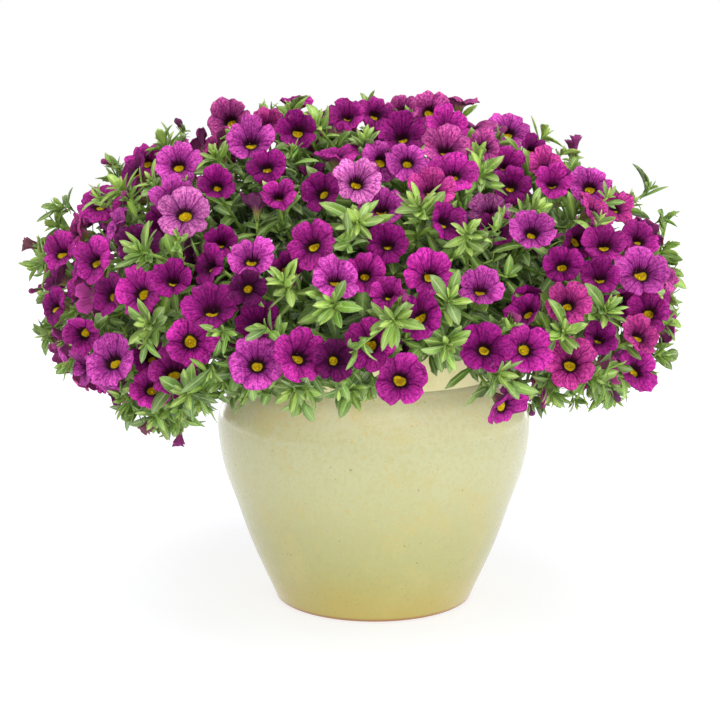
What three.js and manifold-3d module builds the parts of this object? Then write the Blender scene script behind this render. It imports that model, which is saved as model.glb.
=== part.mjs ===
// A calibrachoa in full flower in a round glazed pot.
// Millimetres, +Z up. The origin is the centre of the pot's flat underside, and -Y is the front.
//
// The plant is a fountain of stems that root in the soil and arch over the rim. Flowering stems
// fork into pedicels with one bloom each, and leafy stems fork into shoots that end in a rosette
// of leaves. Blooms and shoots are scattered over the mound by a seeded rule that keeps each one
// clear of the rest, so that no two nodes touch.

import * as THREE from 'three';
import { mergeVertices } from 'three/addons/utils/BufferGeometryUtils.js';
import Module from 'manifold-3d';

const wasm = await Module();
wasm.setup();

// ---- Pot and soil: radius and height of each turning point ----------------------------------

const POT_OUTSIDE = [
  [0, 0], [63, 0], [67, 2.5], [82.5, 38], [93, 68], [101.5, 93], [105, 115], [104, 130],
  [96, 143], [86, 152.5], [84.5, 156], [88, 175], [87, 180.5],
];
const POT_INSIDE = [[81.5, 180.5], [77.5, 156], [96.5, 128], [93.5, 90], [75, 38], [62, 11], [0, 11]];
const POT_TOP = 180.5;
const POT_FLOOR = 11;
// What hangs past the neck keeps clear of a straight collar from the shoulder up.
const SHOULDER_HEIGHT = 140;
const COLLAR_OUTSIDE = 89;
const COLLAR_INSIDE = 77;
const POT_SIDES = 28;
const DRAIN_HOLES = 3;
const DRAIN_HOLE_RADIUS = 6;
const DRAIN_CIRCLE_RADIUS = 32;
const DRAIN_HOLE_SIDES = 8;

const SOIL_TOP = 164;
const SOIL_CROWN = 4;
const SOIL_GAP = 0.5;
const SOIL_SIDE_GAP = 0.6;

// ---- Mound: an ellipsoid with a shallower lower half -----------------------------------------

const MOUND_CENTRE = new THREE.Vector3(-11, 0, 200);
const MOUND_RADIUS = 208;
const MOUND_RISE = 128;
const MOUND_DROP = 92;
// Lowest latitude of the flowers, in degrees: the skirt hangs lowest at the two sides.
const SKIRT_SIDE = -48;
const SKIRT_FRONT = -19;
const SKIRT_BACK = -36;

// ---- Stems: rings of stems, each ring with its latitude on the mound in degrees --------------

const FLOWER_RINGS = [
  { latitude: 90, count: 1, phase: 0 },
  { latitude: 62, count: 5, phase: 18 },
  { latitude: 31, count: 8, phase: 0 },
  { latitude: -8, count: 10, phase: 9 },
];
const LEAFY_RINGS = [
  { latitude: 76, count: 3, phase: 50 },
  { latitude: 46, count: 6, phase: 40 },
  { latitude: 12, count: 9, phase: 20 },
];
const STEM_RADIUS = 2.1;
const STEM_SIDES = 3;
const STEM_STEPS = 5;
const STEM_FORK_DEPTH = 56;
// Shares of a stem's span: how far it rises, reaches and lifts as it bends over.
const STEM_RISE = 0.42;
const STEM_REACH = 0.4;
const STEM_LIFT = 0.18;
const ROOT_CIRCLE_RADIUS = 59;
const ROOT_LATITUDE_SPAN = 98;
const ROOT_DEPTH = 12;
const ROOT_GAP = 0.9;
const STEM_COLLAR = 5;
const BUD_SPACING = 6;
const NEAREST_STEMS = 3;

// ---- Blooms ----------------------------------------------------------------------------------

const BLOOM_TARGET = 208;
const BLOOM_DRAWS = 2600;
const BLOOM_SINE_SPAN = 1.75;
const BLOOM_SCATTER = 8;
const BLOOM_RADIUS_MIN = 11;
const BLOOM_RADIUS_SPAN = 3.4;
const BLOOM_LOBES = 5;
const LOBE_HALF_ANGLE = 22;
// Blooms under this radius have one corner to each lobe, and the others two.
const SMALL_BLOOM_RADIUS = 11.6;
const NOTCH_RADIUS = 0.84;
const NOTCH_DROP = 0.8;
const THROAT_DEPTH = 5.6;
const THROAT_SLOPE = 0.8;
const NECK_DEPTH = 11;
const NECK_RADIUS = 1.9;
const BRANCH_PULLS = [0.42, 0.25, 0.6];
const STRAIGHT_BRANCH = 0.8;
const PEDICEL_RADIUS = 1.1;
const PEDICEL_ROOT_RADIUS = 0.5;
// Blooms on the front of the mound, nearest first: place across and up, radius, then the degrees
// that the face turns to the right and lifts.
const FRONT_BLOOMS = [
  [-196, 241, 12.5, -30, 20], [-166, 240, 13, -35, 10], [-133, 225, 13.5, -30, 15], [-113, 234, 10.5, 0, 30],
  [-94, 241, 11.5, -45, 20], [-90, 220, 14.5, 0, 42], [-102, 201, 13.5, 10, -5], [-87, 202, 10, -35, 20],
  [-113, 183, 14, 0, 32], [-128, 170, 11.5, 5, 25], [-152, 185, 15.5, -30, 25], [-172, 197, 11, -20, -15],
  [-196, 210, 11.5, -45, 15], [-153, 222, 11.5, -40, 20], [-130, 186, 10, 0, 30], [-70, 231, 9.5, 0, 10],
  [-69, 246, 12.5, 0, 30], [-65, 191, 14, 0, 20], [-65, 211, 12, -20, 35], [-41, 196, 13.5, 30, 15],
  [-23, 194, 10.5, 10, 5], [13, 183, 13.5, 15, 0], [-4, 201, 13.5, -10, 10], [22, 217, 11.5, -20, 5],
  [28, 239, 12.5, 0, 15], [5, 229, 9, -30, 30], [-22, 237, 12, 15, 30], [-36, 254, 12.5, -25, 10],
  [-7, 238, 10.5, 0, 20], [6, 254, 11, 0, 28], [56, 231, 11.5, 0, 35], [58, 199, 12.5, 0, 10],
  [82, 197, 13, 15, 10], [83, 215, 10.5, -40, 30], [109, 186, 13.5, 0, 10], [96, 177, 12, 0, -10],
  [73, 161, 13, 40, -30], [107, 220, 11.5, 0, 32], [105, 240, 10.5, -10, 28], [127, 199, 9.5, 20, 30],
  [128, 233, 11, 0, 32], [159, 232, 16, 10, 30], [156, 196, 12.5, 35, 30], [163, 208, 12, -15, 10],
  [159, 172, 13.5, 35, 25], [133, 250, 12, 0, 30], [128, 221, 11, 0, 30], [186, 226, 11, 65, 20],
  [-75, 309, 14, 0, 32], [-95, 322, 13.5, -10, 20], [-151, 295, 12, -15, 25], [-119, 295, 13, 0, 28],
  [-109, 269, 14.5, 0, 32], [-118, 277, 11.5, -10, 30], [-92, 284, 10, 0, 28], [-87, 267, 10.5, 45, 10],
  [-171, 271, 13.5, -20, 38], [-136, 250, 12.5, 0, 32], [-88, 253, 9, 0, 25], [-51, 334, 10, 30, 80],
  [-68, 320, 9.5, 0, 42], [-47, 315, 11, 0, 10], [-63, 295, 10.5, 0, 32], [-55, 280, 9, 0, 38],
  [-68, 275, 8, 0, 90], [-31, 281, 10.5, -20, 10], [-47, 269, 12, 0, 32], [-23, 302, 12.5, 0, 75],
  [-11, 287, 12.5, 10, 28], [3, 272, 11.5, 0, 28], [-17, 325, 10.5, 0, 30], [1, 326, 11, 20, 30],
  [18, 330, 10, 0, 35], [37, 328, 13.5, 0, 15], [57, 336, 13, 0, 90], [63, 319, 14.5, 0, 80],
  [41, 305, 13, 0, 35], [18, 298, 11, 0, 30], [4, 298, 11, 30, 20], [44, 291, 13, 0, 38],
  [31, 283, 12.5, 0, 38], [38, 266, 11, 40, 20], [66, 306, 9.5, 20, 20], [89, 315, 13.5, 10, 30],
  [99, 303, 9, 30, 10], [104, 294, 11, 25, 30], [105, 285, 10, 0, 28], [94, 271, 13, 0, 28],
  [81, 283, 11.5, 0, 28], [67, 254, 10, -25, 25], [67, 268, 13, 0, 38], [88, 259, 12.5, 0, 35],
  [113, 263, 10.5, 25, 20], [132, 281, 12.5, 0, 20], [150, 269, 12, 30, 38], [162, 250, 11.5, 25, 25],
];
const SINK_STEP = 4;
const SINK_STEPS = 11;
// Places at the front that only the listed blooms and shoots hang over, the pot's neck and the air
// beside its shoulder: from and to across, and the height they end at.
const BARE_PLACES = [
  { from: -60, to: 62, top: 184 },
  { from: 70, to: 150, top: 152 },
];
// How strongly a bloom lifts its face towards the mound's own slope, and its random lift and turn
// in degrees.
const FACE_LIFT = 0.62;
const FACE_TILT = 22;
const FACE_TURN = 28.6;

// ---- Leafy shoots ----------------------------------------------------------------------------

const SHOOT_TARGET = 63;
const SHOOT_DRAWS = 6000;
const SHOOT_SINE_SPAN = 1.8;
const SHOOT_SPACING = 24;
const SHOOT_ATTEMPTS = 24;
const SHOOT_DEPTH = 10;
const SHOOT_DEPTH_SPAN = 16;
const FRONT_SHOOT_SINK = 6;
// Angles in radians: how far shoots may hang below the skirt of blooms, and how their axes turn. Shoots
// on the lower front of the mound droop more than its slope.
const SHOOT_DROOP = 2.2;
const SHOOT_HANG = 0.12;
const SHOOT_SWAY = 0.5;
const SHOOT_NOD = 0.25;
const SHOOT_NOD_SPAN = 0.4;
const SHOOT_LIFT = 0.75;
const SHOOT_LEAVES = 4;
const LEAF_LENGTH_MIN = 14;
const LEAF_LENGTH_SPAN = 6;
const LEAF_HALF_WIDTH = 3;
const LEAF_WIDEST = 0.62;
const LEAF_FOLD = 0.9;
const LEAF_SPLAY_MIN = 34;
const LEAF_SPLAY_SPAN = 44;
const LEAF_TURN_SPREAD = 0.3;
const CROWN_RADIUS = 2;
const CROWN_HEIGHT = 1.7;
const SHOOT_RADIUS = 1;

// Shoots on the front of the mound: place across and up.
const FRONT_SHOOTS = [
  [-96, 300], [-139, 308], [-173, 284], [-215, 253], [-192, 257], [-219, 233], [-134, 248], [-72, 326],
  [-37, 320], [-51, 234], [-24, 224], [8, 215], [39, 226], [38, 200], [52, 215], [-105, 173],
  [-152, 155], [-131, 134], [-46, 176], [-14, 175], [-127, 209], [-10, 265], [171, 267], [195, 237],
  [198, 199], [183, 173], [131, 215], [104, 205], [66, 184], [128, 172], [160, 147], [113, 312],
  [62, 291], [50, 259], [23, 274], [74, 320],
];

// ---- Clearances: radius of the spheres that stand for each kind of piece ---------------------

const PETAL_ROOM = 2.2;
const LEAF_ROOM = 2;
const STEM_ROOM = 2.8;
const PEDICEL_ROOM = 1.7;
const GAP = 0.9;
const GRID = 6.2;
const SAMPLE_STEP = 3;

// ---- First seed of each kind of draw ----------------------------------------------------------

const SPIN_SEED = 90000;
const SHOOT_SEED = 50000;
const FRONT_SHOOT_SEED = 20000;

const RAD = Math.PI / 180;
const UP = new THREE.Vector3(0, 0, 1);

// ---- Seeded draws and vectors ----------------------------------------------------------------

function lottery(seed) {
  let state = Math.imul(seed + 1, 0x9e3779b1) >>> 0;
  return () => {
    state = (state + 0x6d2b79f5) >>> 0;
    let mixed = Math.imul(state ^ (state >>> 15), 1 | state);
    mixed = (mixed + Math.imul(mixed ^ (mixed >>> 7), 61 | mixed)) ^ mixed;
    return ((mixed ^ (mixed >>> 14)) >>> 0) / 4294967296;
  };
}

function direction(azimuth, elevation) {
  const level = Math.cos(elevation);
  return new THREE.Vector3(level * Math.cos(azimuth), level * Math.sin(azimuth), Math.sin(elevation));
}

function along(start, way, distance) {
  return start.clone().addScaledVector(way, distance);
}

function mix(a, b, share) {
  return a.clone().lerp(b, share);
}

// Two unit vectors square to `axis`, turned by `spin`, with across x upward = axis.
function frameOf(axis, spin) {
  const side = new THREE.Vector3().crossVectors(UP, axis);
  if (side.lengthSq() < 1e-6) {
    side.set(1, 0, 0);
  }
  side.normalize();
  const rise = new THREE.Vector3().crossVectors(axis, side);
  const across = side.clone().multiplyScalar(Math.cos(spin)).addScaledVector(rise, Math.sin(spin));
  const upward = rise.clone().multiplyScalar(Math.cos(spin)).addScaledVector(side, -Math.sin(spin));
  return { across, upward };
}

// ---- Mound -----------------------------------------------------------------------------------

function moundPoint(azimuth, latitude, depth) {
  const reach = (MOUND_RADIUS - depth) * Math.cos(latitude);
  const height = ((latitude > 0 ? MOUND_RISE : MOUND_DROP) - depth) * Math.sin(latitude);
  return new THREE.Vector3(
    MOUND_CENTRE.x + reach * Math.cos(azimuth),
    MOUND_CENTRE.y + reach * Math.sin(azimuth),
    MOUND_CENTRE.z + height,
  );
}

function moundSlope(latitude) {
  const height = latitude > 0 ? MOUND_RISE : MOUND_DROP;
  return Math.atan2(Math.sin(latitude) / height, Math.cos(latitude) / MOUND_RADIUS);
}

function skirtLatitude(azimuth) {
  const turn = Math.sin(azimuth);
  const facing = turn < 0 ? SKIRT_FRONT : SKIRT_BACK;
  return (SKIRT_SIDE + (facing - SKIRT_SIDE) * turn * turn) * RAD;
}

function radiusAt(profile, height) {
  for (let i = 1; i < profile.length; i += 1) {
    const [r0, z0] = profile[i - 1];
    const [r1, z1] = profile[i];
    if (height >= Math.min(z0, z1) && height <= Math.max(z0, z1) && z0 !== z1) {
      return r0 + ((r1 - r0) * (height - z0)) / (z1 - z0);
    }
  }
  return 0;
}

function hitsPot(point, room) {
  if (point.z > POT_TOP + room + GAP) {
    return false;
  }
  const reach = Math.hypot(point.x, point.y);
  const height = Math.min(Math.max(point.z, 0.1), POT_TOP - 0.1);
  const outside = Math.max(radiusAt(POT_OUTSIDE, height), point.z > SHOULDER_HEIGHT ? COLLAR_OUTSIDE : 0);
  const inside = Math.min(radiusAt(POT_INSIDE, height), COLLAR_INSIDE);
  const clearOutside = reach > outside + room + GAP;
  const clearInside = reach < inside - room - GAP && point.z > SOIL_TOP + SOIL_CROWN + room;
  return !clearOutside && !clearInside;
}

// ---- Thicket: what is already placed, as small spheres in a grid -------------------------------

class Thicket {
  constructor() {
    this.cells = new Map();
  }

  key(i, j, k) {
    return (i + 500) * 1000000 + (j + 500) * 1000 + (k + 500);
  }

  add(samples, owner) {
    for (const sample of samples) {
      const { x, y, z } = sample.centre;
      const key = this.key(Math.floor(x / GRID), Math.floor(y / GRID), Math.floor(z / GRID));
      if (!this.cells.has(key)) {
        this.cells.set(key, []);
      }
      this.cells.get(key).push({ ...sample, owner });
    }
  }

  // True where a sample comes too near another piece. `kin` says which owners don't count.
  blocks(samples, kin) {
    for (const { centre, room } of samples) {
      if (hitsPot(centre, room)) {
        return true;
      }
      const i = Math.floor(centre.x / GRID);
      const j = Math.floor(centre.y / GRID);
      const k = Math.floor(centre.z / GRID);
      for (let cell = 0; cell < 27; cell += 1) {
        const [right, back, up] = [cell % 3, Math.floor(cell / 3) % 3, Math.floor(cell / 9)];
        const key = this.key(i + right - 1, j + back - 1, k + up - 1);
        for (const other of this.cells.get(key) ?? []) {
          const reach = room + other.room + GAP;
          if (centre.distanceToSquared(other.centre) < reach * reach && !kin(other.owner)) {
            return true;
          }
        }
      }
    }
    return false;
  }
}

function lineSamples(points, room) {
  const samples = [];
  for (let i = 1; i < points.length; i += 1) {
    const steps = Math.max(1, Math.ceil(points[i - 1].distanceTo(points[i]) / SAMPLE_STEP));
    for (let step = 0; step < steps; step += 1) {
      samples.push({ centre: mix(points[i - 1], points[i], step / steps), room });
    }
  }
  samples.push({ centre: points[points.length - 1], room });
  return samples;
}

// ---- Layout: stems, then blooms, then shoots ---------------------------------------------------

function layStem(ring, turn, kind) {
  const azimuth = (ring.phase + (360 * turn) / ring.count) * RAD;
  const latitude = ring.latitude * RAD;
  const rootReach = (ROOT_CIRCLE_RADIUS * (90 - ring.latitude)) / ROOT_LATITUDE_SPAN;
  const soilTop = new THREE.Vector3(0, 0, SOIL_TOP + SOIL_CROWN);
  const root = along(soilTop, direction(azimuth, 0), rootReach);
  const collar = along(root, UP, STEM_COLLAR);
  const fork = moundPoint(azimuth, latitude, STEM_FORK_DEPTH);
  const span = collar.distanceTo(fork);
  const outward = direction(azimuth, moundSlope(latitude));
  const rise = along(collar, UP, STEM_RISE * span);
  const arch = along(along(fork, outward, -STEM_REACH * span), UP, STEM_LIFT * span);
  const bend = new THREE.CubicBezierCurve3(collar, rise, arch, fork);
  const foot = along(root, UP, -ROOT_DEPTH);
  const path = [foot, ...bend.getPoints(STEM_STEPS - 1)];
  return { kind, path, buds: budsOn(path), taken: new Set() };
}

// Places where branches may leave a stem, from its end back towards its middle.
function budsOn(path) {
  const buds = [path[STEM_STEPS]];
  for (let knot = STEM_STEPS; knot > STEM_STEPS - 3; knot -= 1) {
    const length = path[knot].distanceTo(path[knot - 1]);
    const count = Math.floor(length / BUD_SPACING);
    for (let bud = 1; bud < count; bud += 1) {
      buds.push(mix(path[knot], path[knot - 1], bud / count));
    }
  }
  return buds;
}

function layStems(rings, kind) {
  return rings.flatMap((ring) => {
    const turns = [...Array(ring.count).keys()];
    return turns.map((turn) => layStem(ring, turn, kind));
  });
}

function bloomSamples(bloom) {
  const { across, upward } = frameOf(bloom.facing, 0);
  const samples = [{ centre: along(bloom.centre, bloom.facing, -THROAT_DEPTH), room: PETAL_ROOM }];
  for (const [share, count] of [[0.93, 16], [0.62, 10], [0.3, 5]]) {
    const drop = -THROAT_DEPTH * (1 - share) * THROAT_SLOPE;
    for (let turn = 0; turn < count; turn += 1) {
      const angle = (2 * Math.PI * turn) / count;
      const centre = along(bloom.centre, bloom.facing, drop)
        .addScaledVector(across, share * bloom.radius * Math.cos(angle))
        .addScaledVector(upward, share * bloom.radius * Math.sin(angle));
      samples.push({ centre, room: PETAL_ROOM });
    }
  }
  samples.push({ centre: along(bloom.centre, bloom.facing, -THROAT_SLOPE * NECK_DEPTH), room: PETAL_ROOM });
  return samples;
}

function leafWay(shoot, leaf) {
  const { across, upward } = frameOf(shoot.axis, leaf.turn);
  const way = shoot.axis
    .clone()
    .multiplyScalar(Math.cos(leaf.splay))
    .addScaledVector(across, Math.sin(leaf.splay));
  return { way, side: upward, top: new THREE.Vector3().crossVectors(way, upward) };
}

function leafSamples(shoot) {
  return shoot.leaves.flatMap((leaf) => {
    const { way } = leafWay(shoot, leaf);
    return [0.3, 0.53, 0.76, 1].map((share) => {
      const centre = along(shoot.tip, way, share * leaf.length);
      return { centre, room: LEAF_ROOM };
    });
  });
}

// Ways that a branch may take from its root to its end: straight where that bends it little,
// and otherwise with one knee.
function branchPaths(root, end, facing) {
  const chord = end.clone().sub(root);
  const length = chord.length();
  const paths = BRANCH_PULLS.map((pull) => {
    const bend = along(end, facing, -pull * length);
    return [root, mix(mix(root, bend, 0.5), mix(bend, end, 0.5), 0.5), end];
  });
  return chord.dot(facing) > STRAIGHT_BRANCH * length ? [[root, end], ...paths] : paths;
}

// A branch path to `end`, which points along `facing`, from one of the nearest stems of its kind.
function findRoute(thicket, stems, kind, end, facing) {
  const near = stems
    .filter((stem) => stem.kind === kind)
    .map((stem) => ({ stem, distance: stem.path[STEM_STEPS].distanceTo(end) }))
    .sort((a, b) => a.distance - b.distance)
    .slice(0, NEAREST_STEMS);
  for (const { stem } of near) {
    for (const root of stem.buds) {
      if (stem.taken.has(root)) {
        continue;
      }
      for (const path of branchPaths(root, end, facing)) {
        const samples = lineSamples(path, PEDICEL_ROOM);
        if (!thicket.blocks(samples, (owner) => owner.kind === 'stem' && owner.stem === stem)) {
          stem.taken.add(root);
          return { stem, path, samples };
        }
      }
    }
  }
  return null;
}

function placeBloom(thicket, stems, blooms, bloom) {
  const petals = bloomSamples(bloom);
  if (thicket.blocks(petals, () => false)) {
    return false;
  }
  const neck = along(bloom.centre, bloom.facing, -NECK_DEPTH);
  const route = findRoute(thicket, stems, 'flower', neck, bloom.facing);
  if (!route) {
    return false;
  }
  thicket.add(petals, { kind: 'bloom', stem: route.stem });
  thicket.add(route.samples, { kind: 'branch', stem: route.stem });
  blooms.push({ ...bloom, ...route });
  return true;
}

function drawBloom(index) {
  const draw = lottery(index);
  const azimuth = 2 * Math.PI * draw();
  const latitude = Math.asin(1 - BLOOM_SINE_SPAN * draw());
  const radius = BLOOM_RADIUS_MIN + BLOOM_RADIUS_SPAN * draw();
  const turned = azimuth + FACE_TURN * RAD * (2 * draw() - 1);
  const lifted = moundSlope(latitude) * FACE_LIFT + FACE_TILT * RAD * (2 * draw() - 1);
  const centre = moundPoint(azimuth, latitude, BLOOM_SCATTER * draw());
  const spin = 2 * Math.PI * draw();
  return { azimuth, latitude, centre, radius, spin, facing: direction(turned, lifted) };
}

// A point on the front of the mound, sunk straight back into it.
function frontPoint(x, z, sink) {
  const across = (x - MOUND_CENTRE.x) / MOUND_RADIUS;
  const height = (z - MOUND_CENTRE.z) / (z > MOUND_CENTRE.z ? MOUND_RISE : MOUND_DROP);
  const bulge = Math.sqrt(Math.max(0, 1 - across * across - height * height));
  return new THREE.Vector3(x, MOUND_CENTRE.y - MOUND_RADIUS * bulge + sink, z);
}

function placeFrontBlooms(thicket, stems, blooms) {
  for (const [index, [x, z, radius, turn, lift]] of FRONT_BLOOMS.entries()) {
    const facing = direction((turn - 90) * RAD, lift * RAD);
    const spin = 2 * Math.PI * lottery(SPIN_SEED + index)();
    for (let step = 0; step < SINK_STEPS; step += 1) {
      const bloom = { centre: frontPoint(x, z, SINK_STEP * step), radius, spin, facing };
      if (placeBloom(thicket, stems, blooms, bloom)) {
        break;
      }
    }
  }
}

function inBarePlace({ x, y, z }) {
  return y < 0 && BARE_PLACES.some(({ from, to, top }) => x > from && x < to && z < top);
}

function placeBlooms(thicket, stems) {
  const blooms = [];
  placeFrontBlooms(thicket, stems, blooms);
  for (let index = 0; index < BLOOM_DRAWS && blooms.length < BLOOM_TARGET; index += 1) {
    const bloom = drawBloom(index);
    if (bloom.latitude > skirtLatitude(bloom.azimuth) && !inBarePlace(bloom.centre)) {
      placeBloom(thicket, stems, blooms, bloom);
    }
  }
  return blooms;
}

function drawShoot(index) {
  const draw = lottery(SHOOT_SEED + index);
  const azimuth = 2 * Math.PI * draw();
  const latitude = Math.asin(1 - SHOOT_SINE_SPAN * draw());
  const tip = moundPoint(azimuth, latitude, SHOOT_DEPTH - SHOOT_DEPTH_SPAN * draw());
  const sway = SHOOT_SWAY * (2 * draw() - 1);
  const nod = SHOOT_NOD + SHOOT_NOD_SPAN * (2 * draw() - 1);
  const first = 2 * Math.PI * draw();
  const leaves = [...Array(SHOOT_LEAVES).keys()].map((k) => ({
    turn: first + (2 * Math.PI * (k + LEAF_TURN_SPREAD * (draw() - 0.5))) / SHOOT_LEAVES,
    splay: (LEAF_SPLAY_MIN + LEAF_SPLAY_SPAN * draw()) * RAD,
    length: LEAF_LENGTH_MIN + LEAF_LENGTH_SPAN * draw(),
  }));
  const axis = direction(azimuth + sway, SHOOT_LIFT * moundSlope(latitude) + nod);
  return { azimuth, latitude, tip, axis, sway, nod, leaves };
}

function placeShoot(thicket, stems, shoots, shoot) {
  const crowded = shoots.some((other) => other.tip.distanceTo(shoot.tip) < SHOOT_SPACING);
  const blades = leafSamples(shoot);
  if (crowded || thicket.blocks(blades, () => false)) {
    return false;
  }
  const base = along(shoot.tip, shoot.axis, -CROWN_HEIGHT);
  const route = findRoute(thicket, stems, 'leafy', base, shoot.axis);
  if (!route) {
    return false;
  }
  thicket.add(blades, { kind: 'leaf', stem: route.stem });
  thicket.add(route.samples, { kind: 'branch', stem: route.stem });
  shoots.push({ ...shoot, ...route });
  return true;
}

// Tries a front shoot with several draws of its leaves, each a little higher above the blooms.
function placeFrontShoots(thicket, stems, shoots) {
  for (const [index, [x, z]] of FRONT_SHOOTS.entries()) {
    for (let attempt = 0; attempt < SHOOT_ATTEMPTS; attempt += 1) {
      const shoot = drawShoot(FRONT_SHOOT_SEED + SHOOT_ATTEMPTS * index + attempt);
      const tip = frontPoint(x, z, FRONT_SHOOT_SINK - attempt);
      const azimuth = Math.atan2(tip.y - MOUND_CENTRE.y, tip.x - MOUND_CENTRE.x);
      const slope = Math.atan2(tip.z - MOUND_CENTRE.z, MOUND_RADIUS);
      const droop = z < MOUND_CENTRE.z ? SHOOT_DROOP : 1;
      const axis = direction(azimuth + shoot.sway, droop * slope + shoot.nod);
      if (placeShoot(thicket, stems, shoots, { ...shoot, tip, axis })) {
        break;
      }
    }
  }
}

function placeShoots(thicket, stems) {
  const shoots = [];
  placeFrontShoots(thicket, stems, shoots);
  for (let index = 0; index < SHOOT_DRAWS && shoots.length < SHOOT_TARGET; index += 1) {
    const shoot = drawShoot(index);
    if (shoot.latitude > skirtLatitude(shoot.azimuth) - SHOOT_HANG && !inBarePlace(shoot.tip)) {
      placeShoot(thicket, stems, shoots, shoot);
    }
  }
  return shoots;
}

// ---- Closed shells and solids ------------------------------------------------------------------

class Shell {
  constructor() {
    this.points = [];
    this.faces = [];
  }

  point(position) {
    this.points.push(position);
    return this.points.length - 1;
  }

  ring(centre, frame, radius, sides) {
    return [...Array(sides).keys()].map((k) => {
      const angle = (2 * Math.PI * k) / sides;
      const shifted = along(centre, frame.across, radius * Math.cos(angle));
      return this.point(shifted.addScaledVector(frame.upward, radius * Math.sin(angle)));
    });
  }

  // Joins two rings that both turn anticlockwise about the way from `low` to `high`.
  bridge(low, high) {
    let i = 0;
    let j = 0;
    while (i < low.length || j < high.length) {
      const a = low[i % low.length];
      const b = high[j % high.length];
      if (j >= high.length || (i < low.length && (i + 0.5) / low.length <= (j + 0.5) / high.length)) {
        this.faces.push(a, low[(i + 1) % low.length], b);
        i += 1;
      } else {
        this.faces.push(a, high[(j + 1) % high.length], b);
        j += 1;
      }
    }
  }

  fan(ring, tip) {
    ring.forEach((corner, k) => this.faces.push(corner, ring[(k + 1) % ring.length], tip));
  }

  cap(ring) {
    for (let k = 2; k < ring.length; k += 1) {
      this.faces.push(ring[0], ring[k], ring[k - 1]);
    }
  }

  // A tube from path[0] to the path's end, whose last ring has the frame given. Returns that ring.
  tube(path, radii, sides, lastFrame) {
    const ways = path.slice(1).map((point, k) => point.clone().sub(path[k]).normalize());
    const axes = path.map((_, k) => {
      const before = ways[Math.max(k - 1, 0)];
      const after = ways[Math.min(k, ways.length - 1)];
      return before.clone().add(after).normalize();
    });
    let axis = new THREE.Vector3().crossVectors(lastFrame.across, lastFrame.upward);
    let frame = lastFrame;
    const rings = [];
    for (let k = path.length - 1; k >= 0; k -= 1) {
      const turned = k === path.length - 1 ? axis : axes[k];
      const turn = new THREE.Quaternion().setFromUnitVectors(axis, turned);
      frame = {
        across: frame.across.clone().applyQuaternion(turn),
        upward: frame.upward.clone().applyQuaternion(turn),
      };
      axis = turned;
      rings.unshift(this.ring(path[k], frame, radii[k], sides));
    }
    this.cap(rings[0]);
    for (let k = 1; k < rings.length; k += 1) {
      this.bridge(rings[k - 1], rings[k]);
    }
    return rings[rings.length - 1];
  }

  solid() {
    return manifoldOf(this.points.flatMap((point) => point.toArray()), this.faces);
  }
}

function manifoldOf(coordinates, faces) {
  const vertProperties = new Float32Array(coordinates);
  const triVerts = new Uint32Array(faces);
  return new wasm.Manifold(new wasm.Mesh({ numProp: 3, vertProperties, triVerts }));
}

function turnedSolid(profile, sides) {
  const lathe = new THREE.LatheGeometry(profile.map(([r, z]) => new THREE.Vector2(r, z)), sides);
  lathe.deleteAttribute('normal');
  lathe.deleteAttribute('uv');
  lathe.rotateX(Math.PI / 2);
  const merged = mergeVertices(lathe, 1e-3);
  const corners = merged.index.array;
  const faces = [];
  for (let k = 0; k < corners.length; k += 3) {
    const [a, b, c] = [corners[k], corners[k + 1], corners[k + 2]];
    if (a !== b && b !== c && c !== a) {
      faces.push(a, b, c);
    }
  }
  return manifoldOf(merged.attributes.position.array, faces);
}

function meshOf(solid, name, material) {
  const { vertProperties, triVerts } = solid.getMesh();
  const geometry = new THREE.BufferGeometry();
  geometry.setAttribute('position', new THREE.BufferAttribute(new Float32Array(vertProperties), 3));
  geometry.setIndex(new THREE.BufferAttribute(new Uint32Array(triVerts), 1));
  geometry.computeVertexNormals();
  const mesh = new THREE.Mesh(geometry, material);
  mesh.name = name;
  return mesh;
}

// ---- Pieces ------------------------------------------------------------------------------------

function postSolid(x, y, low, high, radius, sides) {
  const shell = new Shell();
  const path = [new THREE.Vector3(x, y, low), new THREE.Vector3(x, y, high)];
  const last = shell.tube(path, [radius, radius], sides, frameOf(UP, 0));
  shell.cap([...last].reverse());
  return shell.solid();
}

function potSolid() {
  let pot = turnedSolid([...POT_OUTSIDE, ...POT_INSIDE], POT_SIDES);
  for (let turn = 0; turn < DRAIN_HOLES; turn += 1) {
    const angle = (2 * Math.PI * (turn + 0.5)) / DRAIN_HOLES;
    const x = DRAIN_CIRCLE_RADIUS * Math.cos(angle);
    const y = DRAIN_CIRCLE_RADIUS * Math.sin(angle);
    pot = pot.subtract(postSolid(x, y, -1, POT_FLOOR + 1, DRAIN_HOLE_RADIUS, DRAIN_HOLE_SIDES));
  }
  return pot;
}

function soilSolid(stems) {
  const inside = POT_INSIDE.filter(([, z]) => z < SOIL_TOP).reverse();
  const shrunk = inside.map(([r, z]) => {
    const height = z === POT_FLOOR ? z + SOIL_GAP : z;
    return [Math.max(0, r - SOIL_SIDE_GAP), height];
  });
  const edge = radiusAt(POT_INSIDE, SOIL_TOP) - SOIL_SIDE_GAP;
  let soil = turnedSolid([...shrunk, [edge, SOIL_TOP], [0, SOIL_TOP + SOIL_CROWN]], POT_SIDES);
  const room = STEM_RADIUS + ROOT_GAP;
  for (const { path } of stems) {
    const foot = path[0];
    soil = soil.subtract(postSolid(foot.x, foot.y, foot.z - 1, POT_TOP, room, STEM_SIDES));
  }
  return soil;
}

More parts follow.
